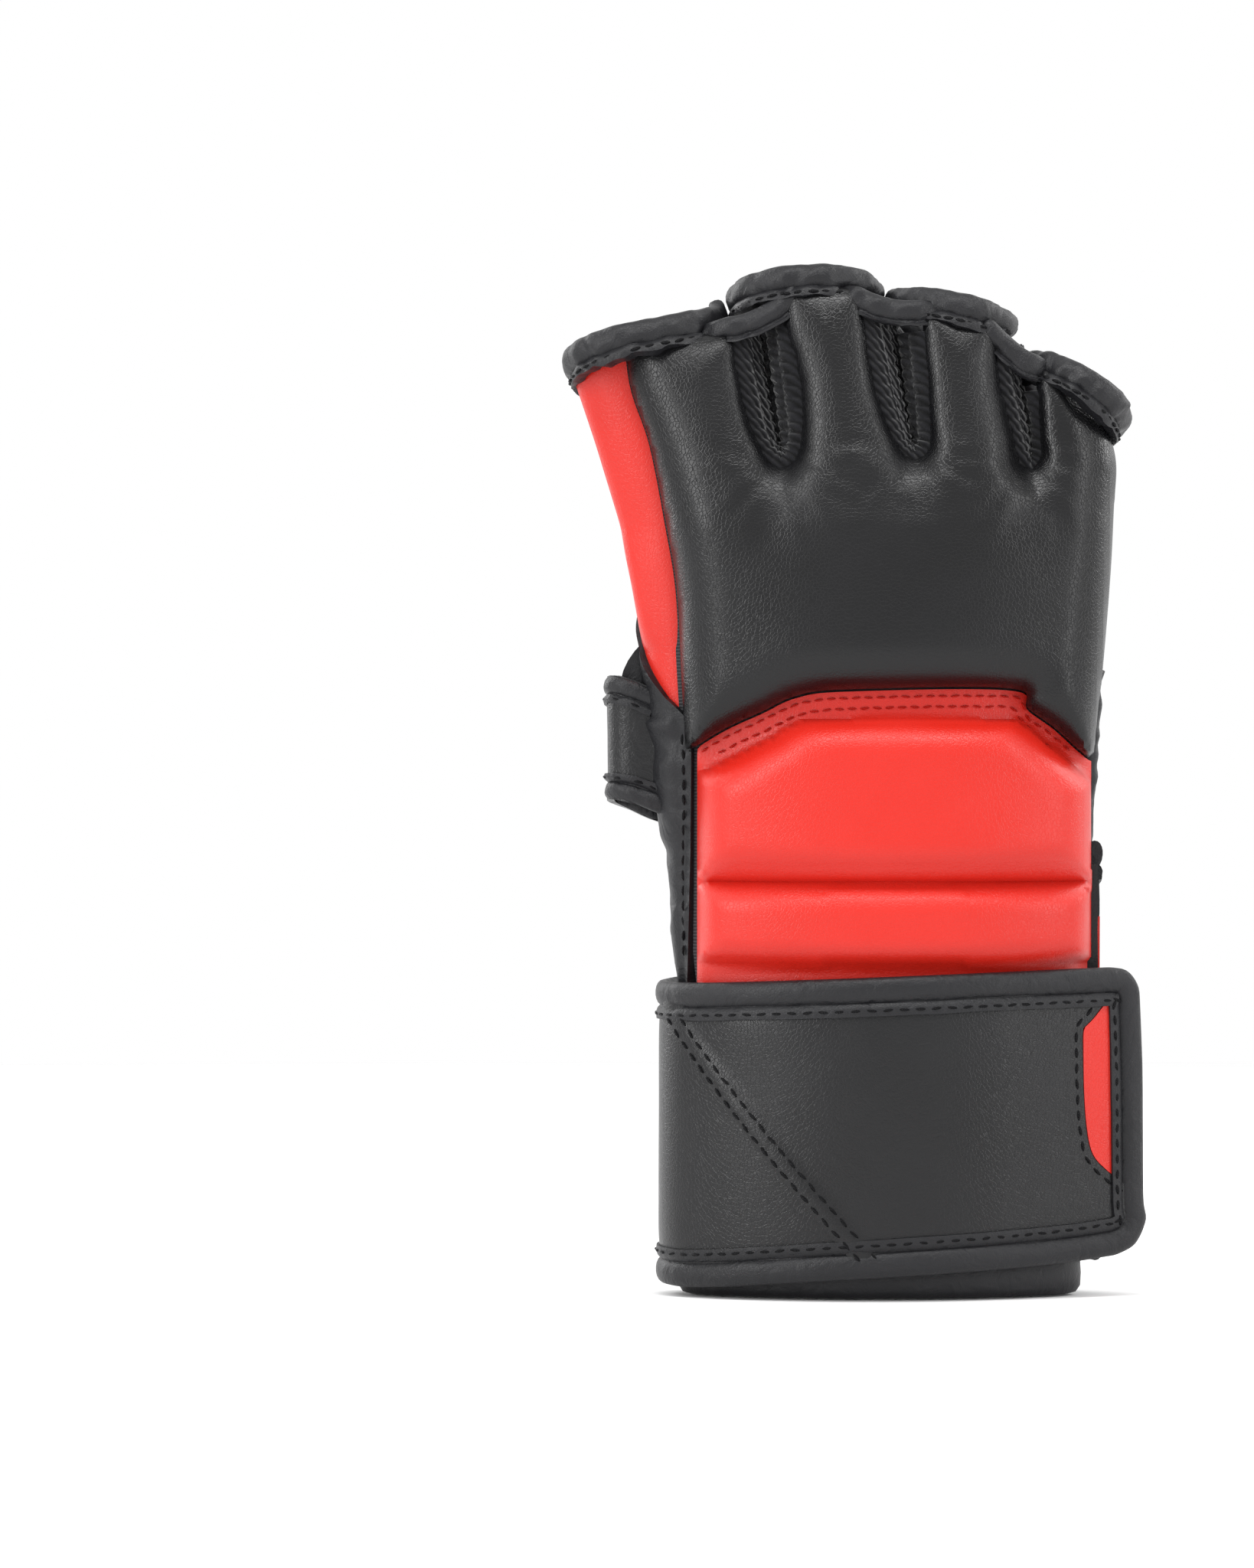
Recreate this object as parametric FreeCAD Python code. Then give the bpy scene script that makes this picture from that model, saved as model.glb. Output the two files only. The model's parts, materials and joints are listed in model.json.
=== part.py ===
"""Open-palm grappling glove for the right hand, standing on its cuff, in millimetres.

+Z runs up the fingers, the back of the hand faces -Y and the thumb is on the -X side.
The glove is wrapped round two ovals: the hand oval, which widens from the wrist to the
fingertips, and the strap oval, a straight tube round the wrist. A layer is the space
between two offsets of an oval, and each piece is a layer cut to the piece's outline.
"""
import FreeCAD
import Part
import math
import os

from FreeCAD import Vector

# ---- overall sizes -------------------------------------------------------------------
GLOVE_LENGTH = 252.0         # from the hem to above the highest finger opening
WRIST_HALF_WIDTH = 43.0      # inside of the lining at the cuff
KNUCKLE_HALF_WIDTH = 55.6
FINGERTIP_HALF_WIDTH = KNUCKLE_HALF_WIDTH + 12.0
WRIST_BACK_DEPTH = 21.0      # from the side seams out to the back of the hand
WRIST_PALM_DEPTH = 13.0      # from the side seams out to the palm
WRIST_CENTRE_X = 6.5

# ---- sheet and pad thicknesses ----------------------------------------------------------
LINING = 1.8
SKIN = 1.2                   # synthetic leather
PAD_HEIGHT = 11.2            # knuckle and metacarpal pads, cover included
PAD_TAPER = 9.0              # how much lower the knuckle pad is above the fingertips
CUFF_PAD_HEIGHT = 4.2        # thin pad under the strap, cover included
WEB = 1.0                    # strap's inner webbing
LOOP_PILE = 1.0
HOOK_PILE = 0.9
KNIT = 1.8
TAPE_WIDTH = 8.0             # edge binding tape
TAPE_PROUD = 0.8             # how far the tape stands off the sheet on each side
ELASTIC = 1.4
STRIP = 2.0                  # thumb strip's leather, folded double
STRIP_TAPE_WIDTH = 4.6
GAP = 0.2                    # between neighbouring pieces of one body
MOVING_GAP = 0.4             # between pieces of different bodies

PAD_BASE = LINING + GAP
PAD_TOP = PAD_BASE + PAD_HEIGHT
CUFF_PAD_TOP = PAD_BASE + CUFF_PAD_HEIGHT
SIDE_SEAM_Y = -2.0           # where the back panel ends at each side of the hand
PAD_SIDE_Y = -4.0            # the pads stop here at each side
SIDE_TAPE_Y = 5.0
PALM_SEAM_Y = 8.0            # where the side gussets meet the palm

# ---- grading ------------------------------------------------------------------------------
# The outlines are drawn as a pattern for one hand. A longer or wider glove spreads the
# pattern, and the strap's outlines spread with the wrist.
PATTERN_LENGTH = 252.0
PATTERN_HALF_WIDTH = 55.6
PATTERN_STRAP_HALF_WIDTH = 50.9


def up(z):
    return z * GLOVE_LENGTH / PATTERN_LENGTH


def graded(points):
    """Pattern points of the hand, spread to this glove."""
    k = KNUCKLE_HALF_WIDTH / PATTERN_HALF_WIDTH
    return [(WRIST_CENTRE_X + (x - WRIST_CENTRE_X) * k, up(z)) for x, z in points]


def strap_graded(points):
    """Pattern points of the strap, spread to this wrist."""
    k = STRAP_HALF_WIDTH / PATTERN_STRAP_HALF_WIDTH
    return [(WRIST_CENTRE_X + (x - WRIST_CENTRE_X) * k, up(z)) for x, z in points]


# ---- heights up the glove -----------------------------------------------------------------
HEM_TOP = TAPE_WIDTH
CUFF_PAD_END = up(80.0)
CREASE_Z = up(100.0)         # the fold between the two red lobes
CREASE_WIDTH = 2.4
THUMB_CROTCH_Z = up(138.0)
LITTLE_TAPE_END = up(150.0)
PALM_PANEL_FOOT = up(140.0)

# ---- strap ----------------------------------------------------------------------------------
STRAP_SIDE_EASE = 1.7        # between the cuff pad and the strap at each side
STRAP_BACK_EASE = 0.5        # more room over the middle of the cuff, where the strap is flatter
STRAP_HALF_WIDTH = WRIST_HALF_WIDTH + CUFF_PAD_TOP + STRAP_SIDE_EASE
STRAP_BACK_DEPTH = (WRIST_BACK_DEPTH + CUFF_PAD_TOP + LOOP_PILE + HOOK_PILE + 3 * GAP
                    + STRAP_BACK_EASE)
STRAP_PALM_DEPTH = WRIST_PALM_DEPTH + LINING + STRIP + 2 * TAPE_PROUD + 3 * MOVING_GAP + 1.0
WRIST_END_RADIUS = 9.0
STRAP_END_RADIUS = WRIST_END_RADIUS + CUFF_PAD_TOP + LOOP_PILE + MOVING_GAP
STRAP_PANEL = WEB + GAP / 2          # the panel's inner face, measured off the strap oval
STRAP_TOP = STRAP_PANEL + SKIN
TAB_LEAVES = math.radians(26.0)      # where the tab leaves the oval and runs straight
TAB_OVERHANG = 13.1          # how far the tab reaches past the side of the strap
TAB_END_X = WRIST_CENTRE_X + STRAP_HALF_WIDTH + TAB_OVERHANG
STRIP_INNER = LINING + TAPE_PROUD + GAP

FAR = 400.0                  # larger than the glove, for cutting prisms

# Hand oval: height, centre x, half width, back depth, palm depth, end radius.
HAND_SECTIONS = [
    (0.0, WRIST_CENTRE_X, WRIST_HALF_WIDTH, WRIST_BACK_DEPTH, WRIST_PALM_DEPTH,
     WRIST_END_RADIUS),
    (up(70.0), WRIST_CENTRE_X, WRIST_HALF_WIDTH + 0.5, WRIST_BACK_DEPTH, WRIST_PALM_DEPTH,
     WRIST_END_RADIUS),
    (up(105.0), WRIST_CENTRE_X - 0.2, WRIST_HALF_WIDTH + 4.0, WRIST_BACK_DEPTH + 1.0,
     WRIST_PALM_DEPTH + 1.0, WRIST_END_RADIUS),
    (up(185.0), WRIST_CENTRE_X - 3.8, KNUCKLE_HALF_WIDTH, WRIST_BACK_DEPTH - 1.0,
     WRIST_PALM_DEPTH + 1.0, WRIST_END_RADIUS),
    (GLOVE_LENGTH, WRIST_CENTRE_X - 9.5, FINGERTIP_HALF_WIDTH + 3.0, WRIST_BACK_DEPTH - 6.0,
     WRIST_PALM_DEPTH - 1.5, 8.0),
]

# Fingers: name, centre x, centre z, half width, lean to the side and tilt to the palm in degrees.
FINGER_HALF_DEPTH = 16.5
FINGER_CENTRE_Y = -3.0
FINGER_TILT = 18.0
RING_THICKNESS = 2.6
FINGERS = [
    ("index", -50.0, 230.0, 19.3, -20.0),
    ("middle", -11.5, 240.0, 17.3, -3.0),
    ("ring", 23.4, 236.0, 14.6, 12.0),
    ("little", 53.0, 217.0, 13.6, 33.0),
]

# Valleys between the fingers, from the first finger gap to the last: left side from top to
# bottom, then right side from bottom to top, and the radius at the bottom of the valley.
VALLEYS = [
    ("index_middle", [(-29.0, 270.0), (-27.0, 200.0), (-14.5, 200.0), (-15.5, 270.0)], 5.6),
    ("middle_ring", [(1.5, 270.0), (8.5, 202.0), (19.5, 202.0), (18.5, 270.0)], 5.0),
    ("ring_little", [(34.5, 270.0), (36.5, 199.0), (47.0, 199.0), (46.5, 270.0)], 4.6),
]

# The seam between the black knuckle pad and the red pad, from the thumb side.
SEAM = [(-40.0, 131.0), (-22.0, 141.0), (-6.0, 145.5), (38.0, 145.5), (48.5, 136.5), (62.0, 127.0)]
THUMB_EDGE = [(-40.5, 161.0), (-42.5, 180.0), (-47.0, 195.0), (-53.5, 218.0), (-55.5, 232.0)]
LITTLE_EDGE_X = 62.0
RED_LEFT_X = -38.0
RED_RIGHT_X = 59.5
# The line above which nothing but the finger tapes reaches, from the thumb side.
FINGER_LINE = [(-110.0, 229.0), (-62.0, 229.0), (-30.0, 236.0), (-22.0, 240.0), (-5.0, 246.0),
               (9.0, 240.0), (28.0, 237.0), (38.0, 231.0), (48.0, 224.0), (110.0, 190.0)]


# ---- ovals and layers --------------------------------------------------------------------------
def oval(z, centre_x, half_width, back, palm, end_radius, offset):
    """Closed wire of four tangent arcs at height z, pushed outwards by offset."""
    c = half_width - end_radius
    back_radius = (c * c + back**2 - end_radius**2) / (2 * (back - end_radius))
    palm_radius = (c * c + palm**2 - end_radius**2) / (2 * (palm - end_radius))
    back_y, palm_y = back_radius - back, palm - palm_radius
    back_angle, palm_angle = math.atan2(c, back_y), math.atan2(c, -palm_y)
    r, rb, rp = end_radius + offset, back_radius + offset, palm_radius + offset

    def back_point(a):
        return Vector(centre_x + rb * math.sin(a), back_y - rb * math.cos(a), z)

    def palm_point(a):
        return Vector(centre_x + rp * math.sin(a), palm_y + rp * math.cos(a), z)

    left, right = Vector(centre_x - c - r, 0, z), Vector(centre_x + c + r, 0, z)
    arcs = [
        Part.Arc(back_point(-back_angle), back_point(0), back_point(back_angle)),
        Part.Arc(back_point(back_angle), right, palm_point(palm_angle)),
        Part.Arc(palm_point(palm_angle), palm_point(0), palm_point(-palm_angle)),
        Part.Arc(palm_point(-palm_angle), left, back_point(-back_angle)),
    ]
    return Part.Wire([a.toShape() for a in arcs])


def hand_body(offset, taper=0.0):
    """The hand oval's solid, from the hem to above the fingertips."""
    last = len(HAND_SECTIONS) - 1
    wires = [oval(*section, offset - (taper if i == last else 0))
             for i, section in enumerate(HAND_SECTIONS)]
    return Part.makeLoft(wires, True, True)


def layer(inner, outer, taper=0.0):
    """The space between two offsets of the hand oval."""
    return hand_body(outer, taper).cut(hand_body(inner))


def strap_body(offset):
    wire = oval(0.0, WRIST_CENTRE_X, STRAP_HALF_WIDTH, STRAP_BACK_DEPTH, STRAP_PALM_DEPTH,
                STRAP_END_RADIUS, offset)
    return Part.Face(wire).extrude(Vector(0, 0, GLOVE_LENGTH))


def strap_layer(inner, outer):
    return strap_body(outer).cut(strap_body(inner))


def tab_layer(inner, outer, end_x=TAB_END_X):
    """The tab: round the thumb side, across the back, then straight on past the hand."""
    c = STRAP_HALF_WIDTH - STRAP_END_RADIUS
    radius = (c * c + STRAP_BACK_DEPTH**2 - STRAP_END_RADIUS**2) / (
        2 * (STRAP_BACK_DEPTH - STRAP_END_RADIUS))
    centre_y = radius - STRAP_BACK_DEPTH
    turn = math.atan2(c, centre_y)
    along = Vector(math.cos(TAB_LEAVES), math.sin(TAB_LEAVES), 0)

    def back_point(offset, angle):
        r = radius + offset
        return Vector(WRIST_CENTRE_X + r * math.sin(angle), centre_y - r * math.cos(angle), 0)

    def thumb_point(offset, y):
        r = STRAP_END_RADIUS + offset
        return Vector(WRIST_CENTRE_X - c - math.sqrt(r * r - y * y), y, 0)

    def edge_line(offset):
        start, bend, leave = (thumb_point(offset, -MOVING_GAP), back_point(offset, -turn),
                              back_point(offset, TAB_LEAVES))
        end = leave + along * ((end_x - leave.x) / along.x)
        middle = thumb_point(offset, -(STRAP_END_RADIUS + offset) / 3)
        return [Part.Arc(start, middle, bend).toShape(),
                Part.Arc(bend, back_point(offset, 0), leave).toShape(),
                Part.LineSegment(leave, end).toShape()], start, end

    inside, start_in, end_in = edge_line(inner)
    outside, start_out, end_out = edge_line(outer)
    ends = [Part.LineSegment(start_in, start_out).toShape(),
            Part.LineSegment(end_in, end_out).toShape()]
    wire = Part.Wire(Part.__sortEdges__(inside + outside + ends))
    return Part.Face(wire).extrude(Vector(0, 0, GLOVE_LENGTH))


# ---- outlines ------------------------------------------------------------------------------------
def rounded(points, radii):
    """Closed wire in the XZ plane through points, each corner rounded by its radius."""
    count, edges, ends = len(points), [], []
    corners = [Vector(x, 0, z) for x, z in points]
    for i, corner in enumerate(corners):
        radius = radii[i] if isinstance(radii, (list, tuple)) else radii
        before, after = corners[i - 1] - corner, corners[(i + 1) % count] - corner
        half = before.getAngle(after) / 2
        reach = radius / math.tan(half)
        if radius <= 0 or reach < 1e-3:
            ends.append((corner, corner, None))
            continue
        a, b = Vector(before).normalize(), Vector(after).normalize()
        centre = corner + (a + b).normalize() * (radius / math.sin(half))
        middle = centre + (corner - centre).normalize() * radius
        ends.append((corner + a * reach, corner + b * reach, middle))
    for i, (start, end, middle) in enumerate(ends):
        if middle is not None:
            edges.append(Part.Arc(start, middle, end).toShape())
        following = ends[(i + 1) % count][0]
        if (following - end).Length > 1e-6:
            edges.append(Part.LineSegment(end, following).toShape())
    return Part.Wire(edges)


def grown(wire, distance):
    """The outline pushed outwards, or inwards where distance is negative."""
    if distance == 0:
        return wire
    return wire.makeOffset2D(distance)


def prism(wire, y_from=-FAR, y_to=FAR):
    """An XZ outline drawn out along Y."""
    face = Part.Face(wire)
    face.translate(Vector(0, y_from, 0))
    return face.extrude(Vector(0, y_to - y_from, 0))


def slab(x=(-FAR, FAR), y=(-FAR, FAR), z=(-FAR, FAR)):
    return Part.makeBox(x[1] - x[0], y[1] - y[0], z[1] - z[0], Vector(x[0], y[0], z[0]))


def cut_all(shape, tools):
    for tool in tools:
        shape = shape.cut(tool)
    return shape


# ---- fingers -----------------------------------------------------------------------------
def finger_frame(finger):
    """The placement of a finger opening: its own axis leans sideways and tilts to the palm."""
    x, z = graded([finger[1:3]])[0]
    turn = FreeCAD.Rotation(Vector(0, 1, 0), finger[4]).multiply(
        FreeCAD.Rotation(Vector(1, 0, 0), -FINGER_TILT))
    return FreeCAD.Placement(Vector(x, FINGER_CENTRE_Y, z), turn)


def finger_half_width(finger):
    return finger[3] * KNUCKLE_HALF_WIDTH / PATTERN_HALF_WIDTH


def finger_ring(finger):
    """The binding tape round one finger opening."""
    def column(shrink):
        a, b = finger_half_width(finger) - shrink, FINGER_HALF_DEPTH - shrink
        ellipse = Part.Ellipse(Vector(0, 0, -TAPE_WIDTH / 2), max(a, b), min(a, b)).toShape()
        if b > a:
            ellipse.rotate(Vector(0, 0, 0), Vector(0, 0, 1), 90)
        return Part.Face(Part.Wire([ellipse])).extrude(Vector(0, 0, TAPE_WIDTH))

    ring = column(0).cut(column(RING_THICKNESS))
    ring.Placement = finger_frame(finger)
    return ring


def finger_cap(finger):
    """All that is above the lower edge of a finger's tape, which the hand's pieces stop below."""
    side = finger_half_width(finger) + GAP
    cap = Part.makeBox(2 * side, 2 * FAR, 90.0, Vector(-side, -FAR, -TAPE_WIDTH / 2 - GAP))
    cap.Placement = finger_frame(finger)
    return cap


def above_fingers():
    left, right = FINGER_LINE[0][0], FINGER_LINE[-1][0]
    return prism(rounded(graded([(right, 400.0), (left, 400.0)] + FINGER_LINE), 0))


def lowered(shape, drop):
    moved = shape.copy()
    moved.translate(Vector(0, 0, -drop))
    return moved


CAPS = [finger_cap(f) for f in FINGERS] + [above_fingers()]
VALLEY_WIRES = {name: rounded(graded(points), [0, radius, radius, 0])
                for name, points, radius in VALLEYS}
VALLEY_CUTS = [prism(wire) for wire in VALLEY_WIRES.values()]


# ---- back of the hand --------------------------------------------------------------------
def knuckle_outline():
    """The black pad: the seam, the thumb edge and the four finger lobes' common top."""
    top = [(-28.0, 229.5), (-17.0, 241.0), (1.0, 241.0), (19.0, 231.0), (36.0, 231.0),
           (46.0, 222.5), (56.0, 212.0), (LITTLE_EDGE_X, 203.0)]
    points = SEAM + list(reversed(top)) + list(reversed(THUMB_EDGE))
    radii = [0] * len(SEAM) + [4, 4, 0, 0, 0, 0, 0, 0] + [4, 0, 0, 0, 0]
    return rounded(graded(points), radii)


def pad_solids(outline, top, tools=(), taper=0.0):
    """(cover, foam) of one pad: a skin over the top and the sides, and the foam inside it."""
    block = layer(PAD_BASE, top, taper).common(prism(outline, -FAR, PAD_SIDE_Y))
    hollow = layer(PAD_BASE - GAP, top - SKIN, taper).common(
        prism(grown(outline, -SKIN), -FAR, PAD_SIDE_Y - SKIN))
    foam = layer(PAD_BASE, top - SKIN - GAP, taper).common(
        prism(grown(outline, -SKIN - GAP), -FAR, PAD_SIDE_Y - SKIN - GAP))
    cover_tools = [t for t, _ in tools]
    foam_tools = [t for _, t in tools]
    cover = cut_all(block, cover_tools).cut(cut_all(hollow, foam_tools))
    return cover.cut(foam), cut_all(foam, foam_tools)


def knuckle_pad():
    """Black cover and its foam, with a valley between each two fingers."""
    tools = [(prism(w), prism(grown(w, SKIN + GAP))) for w in VALLEY_WIRES.values()]
    tools += [(cap, lowered(cap, SKIN + GAP)) for cap in CAPS]
    cover, foam = pad_solids(knuckle_outline(), PAD_TOP, tools, PAD_TAPER)
    return cover, foam


def red_outline(bottom, top_points):
    (left, _), (right, _) = graded([(RED_LEFT_X, 0), (RED_RIGHT_X, 0)])
    return rounded([(left, bottom), (right, bottom)] + top_points, 0)


def red_pads():
    """The red cover in three lobes joined by a thin web, and one foam in each lobe."""
    (left, left_z), (right, right_z) = graded([(RED_LEFT_X, SEAM[0][1] + 0.8),
                                               (RED_RIGHT_X, SEAM[-1][1] + 1.3)])
    seam = [(x, z - GAP) for x, z in reversed(graded(SEAM[1:-1]))]
    upper = red_outline(CREASE_Z + CREASE_WIDTH / 2, [(right, right_z), *seam, (left, left_z)])
    lower_top = CREASE_Z - CREASE_WIDTH / 2
    lower = red_outline(CUFF_PAD_END + GAP, [(right, lower_top), (left, lower_top)])
    cuff = red_outline(HEM_TOP + GAP, [(right, CUFF_PAD_END), (left, CUFF_PAD_END)])
    covers, foams = [], []
    for outline, top in ((upper, PAD_TOP), (lower, PAD_TOP), (cuff, CUFF_PAD_TOP)):
        cover, foam = pad_solids(outline, top)
        covers.append(cover)
        foams.append(foam)
    web = layer(PAD_BASE, PAD_BASE + SKIN)
    for z in (CUFF_PAD_END, CREASE_Z):
        reach = CREASE_WIDTH / 2 + SKIN / 2
        band = slab(x=(left, right), y=(-FAR, PAD_SIDE_Y), z=(z - reach, z + reach))
        covers.append(cut_all(web.common(band), foams))
    return covers[0].fuse(covers[1:]).removeSplitter(), foams


def back_outline():
    """The back panel's pattern, whose thumb edge is where the tape and the gusset start."""
    (left, seam_z), (right, _), (far_left, _) = graded(
        [(RED_LEFT_X, SEAM[0][1]), (LITTLE_EDGE_X, 0), (-60.0, 0)])
    edge = list(reversed(graded(THUMB_EDGE)))
    sky = 2 * GLOVE_LENGTH
    return rounded([(left, HEM_TOP + GAP), (right, HEM_TOP + GAP), (right, sky), (far_left, sky)]
                   + edge + [graded(SEAM)[0], (left, seam_z)], 0)


def back_lining():
    """Jersey lining behind both pads, from the hem to the finger openings."""
    sheet = layer(0, LINING).common(prism(back_outline(), -FAR, SIDE_SEAM_Y - GAP))
    return cut_all(sheet, VALLEY_CUTS + CAPS)


# ---- sides, palm and knit ----------------------------------------------------------------
def thumb_gusset():
    """Red strip from the knuckle pad's edge round the index finger's side."""
    block = slab(x=(-FAR, 0), y=(-FAR, PALM_SEAM_Y), z=(THUMB_CROTCH_Z + GAP, GLOVE_LENGTH))
    sheet = layer(GAP, LINING).common(block)
    inside = prism(grown(back_outline(), GAP), -FAR, 0)
    return cut_all(sheet, [inside] + VALLEY_CUTS + CAPS)


def little_gusset():
    """Red strip down the little finger's side."""
    block = slab(x=(0, FAR), y=(SIDE_SEAM_Y, PALM_SEAM_Y), z=(LITTLE_TAPE_END + GAP, GLOVE_LENGTH))
    return cut_all(layer(GAP, LINING).common(block), CAPS + VALLEY_CUTS)


def palm_opening():
    """Edge of the open palm: an arch over the metacarpals that runs down to both sides."""
    points = [(-75.0, 60.0), (-75.0, 139.0), (-42.0, 149.0), (-27.0, 170.0), (-8.0, 179.0),
              (34.0, 179.0), (50.0, 168.0), (54.0, 140.0), (54.0, 60.0)]
    return rounded(graded(points), [0, 0, 14, 18, 18, 14, 14, 0, 0])


def palm_panel():
    """Black leather over the finger bases, with a window for each finger gap."""
    block = slab(y=(PALM_SEAM_Y + GAP, FAR), z=(PALM_PANEL_FOOT, GLOVE_LENGTH))
    sheet = layer(GAP, LINING).common(block)
    sheet = sheet.cut(prism(grown(palm_opening(), TAPE_WIDTH + GAP)))
    return cut_all(sheet, VALLEY_CUTS + CAPS)


def palm_arch_tape():
    band = prism(grown(palm_opening(), TAPE_WIDTH)).cut(prism(palm_opening()))
    block = slab(y=(PALM_SEAM_Y + GAP, FAR), z=(LITTLE_TAPE_END + GAP, GLOVE_LENGTH))
    return layer(-TAPE_PROUD, LINING + TAPE_PROUD).common(block).common(band)


def fourchette(name):
    """Knitted channel between two fingers, open upwards."""
    wire = VALLEY_WIRES[name]
    channel = prism(grown(wire, -GAP)).cut(prism(grown(wire, -GAP - KNIT)))
    return cut_all(hand_body(LINING).common(channel), CAPS)


# ---- edges of the back panel --------------------------------------------------------------
def side_tape(x_range, top):
    block = slab(x=x_range, y=(-FAR, SIDE_TAPE_Y), z=(HEM_TOP + GAP, top))
    panel = prism(grown(back_outline(), GAP), -FAR, SIDE_SEAM_Y)
    return layer(-TAPE_PROUD, LINING + TAPE_PROUD).common(block).cut(panel)


def hem_tape():
    block = slab(y=(-FAR, SIDE_TAPE_Y), z=(0, HEM_TOP))
    return layer(-TAPE_PROUD, CUFF_PAD_TOP + GAP).common(block)


def wrist_elastic():
    """Elastic band across the inside of the wrist, under the strap."""
    block = slab(y=(SIDE_TAPE_Y + GAP, FAR), z=(22.0, 68.0))
    return layer(GAP, ELASTIC).common(block)


# ---- thumb strip --------------------------------------------------------------------------
STRIP_FOOT_Z = 58.0
STRIP_UPPER = [(-80.0, 132.0), (-63.0, 139.0), (-47.0, 150.0), (-43.0, 130.0), (-33.0, 126.0),
               (-1.0, 125.0), (14.0, 113.0), (21.0, 97.0), (24.0, STRIP_FOOT_Z)]
STRIP_UPPER_RADII = [0, 6, 4, 5, 10, 14, 12, 10, 0]
STRIP_LOWER = [(9.0, STRIP_FOOT_Z), (6.0, 88.0), (-3.0, 101.0), (-14.0, 108.0), (-38.0, 112.0),
               (-48.0, 113.0), (-63.0, 123.0), (-80.0, 126.0)]
STRIP_LOWER_RADII = [0, 10, 10, 8, 10, 8, 6, 0]
STRIP_MIDDLE = [(16.5, STRIP_FOOT_Z - 9), (13.5, 92.0), (5.5, 106.5), (-7.0, 116.5),
                (-35.5, 119.0), (-50.0, 130.0), (-90.0, 130.0)]
LOOP_REACH_X = -57.5         # how far the strip stands out past the thumb side
LOOP_RADIUS = 5.0


def strip_space(inner, outer):
    """The strip's run: along the palm, then out round the base of the thumb and back."""
    reach = graded([(LOOP_REACH_X, 0)])[0][0]
    seat = graded([(RED_LEFT_X, 0)])[0][0] - GAP
    half, palm, r = WRIST_HALF_WIDTH + 4.0, WRIST_PALM_DEPTH + 1.0, WRIST_END_RADIUS
    c = half - r
    radius = (c * c + palm**2 - r**2) / (2 * (palm - r))
    centre = Vector(WRIST_CENTRE_X, palm - radius, 0)
    turn = math.asin((WRIST_CENTRE_X + 28.0) / radius)
    along = Vector(-math.cos(turn), -math.sin(turn), 0)
    out = Vector(-math.sin(turn), math.cos(turn), 0)

    def side(offset):
        def on_palm(a):
            return centre + Vector(math.sin(a), math.cos(a), 0) * (radius + offset)

        bend = LOOP_RADIUS + offset - STRIP_INNER
        leave = on_palm(-turn)
        hub_x = reach + LOOP_RADIUS
        base = centre + out * (radius + STRIP_INNER - LOOP_RADIUS)
        hub = base + along * ((hub_x - base.x) / along.x)
        start, far_left, end = hub + out * bend, hub - Vector(bend, 0, 0), hub - Vector(0, bend, 0)
        return [Part.Arc(on_palm(turn), on_palm(0), leave).toShape(),
                Part.LineSegment(leave, start).toShape(),
                Part.Arc(start, far_left, end).toShape(),
                Part.LineSegment(end, Vector(seat, end.y, 0)).toShape()], on_palm(turn), end

    low, start_low, end_low = side(inner)
    high, start_high, end_high = side(outer)
    ends = [Part.LineSegment(start_low, start_high).toShape(),
            Part.LineSegment(Vector(seat, end_low.y, 0), Vector(seat, end_high.y, 0)).toShape()]
    run = Part.Face(Part.Wire(Part.__sortEdges__(low + high + ends)))
    return run.extrude(Vector(0, 0, GLOVE_LENGTH)).cut(hand_body(STRIP_INNER))


def thumb_strip():
    """Leather, upper tape and lower tape of the strip that circles the thumb."""
    outline = rounded(graded(STRIP_UPPER + STRIP_LOWER), STRIP_UPPER_RADII + STRIP_LOWER_RADII)
    far_z = 2 * GLOVE_LENGTH
    above = graded(STRIP_MIDDLE) + [(-FAR, far_z), (FAR, far_z), (FAR, up(STRIP_FOOT_Z - 9))]
    upper = prism(rounded(above, 0))
    core = prism(grown(outline, -STRIP_TAPE_WIDTH))
    band = strip_space(STRIP_INNER, STRIP_INNER + STRIP + TAPE_PROUD).common(prism(outline))
    band = band.cut(core)
    leather = strip_space(STRIP_INNER, STRIP_INNER + STRIP).common(
        prism(grown(outline, -STRIP_TAPE_WIDTH - GAP)))
    return leather, band.common(upper), band.cut(lowered(upper, GAP))


# ---- strap ---------------------------------------------------------------------------------
WRAP_OUTLINE = [(-90.0, 3.5), (94.0, 8.5), (94.0, 128.0), (64.0, 113.0), (25.0, 92.0),
                (-8.0, 80.0), (-60.0, 75.5), (-90.0, 75.5)]
TAB_LEFT = [(-90.0, 75.5), (-90.0, 0.5)]
TAB_CORNER = 8.0
SPLIT = [(-90.0, -20.0), (3.0, -20.0), (3.0, 0.0), (-44.0, 90.0), (-90.0, 90.0)]


def strap_pieces(space, outline, keep, inset, prefix):
    """Webbing, leather panel, red inset and edge tape of one length of strap."""
    inside = prism(grown(outline, -TAPE_WIDTH - GAP))
    panel = space(STRAP_PANEL, STRAP_TOP).common(inside)
    band = prism(outline).cut(prism(grown(outline, -TAPE_WIDTH)))
    pieces = {
        "_webbing": space(0, WEB).common(inside),
        "_panel": panel.cut(prism(inset)),
        "_inset": panel.common(prism(grown(inset, -GAP))),
        "_tape": space(-TAPE_PROUD / 2, STRAP_TOP + TAPE_PROUD).common(band),
    }
    return {prefix + name: shape.common(keep) for name, shape in pieces.items()}


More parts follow.
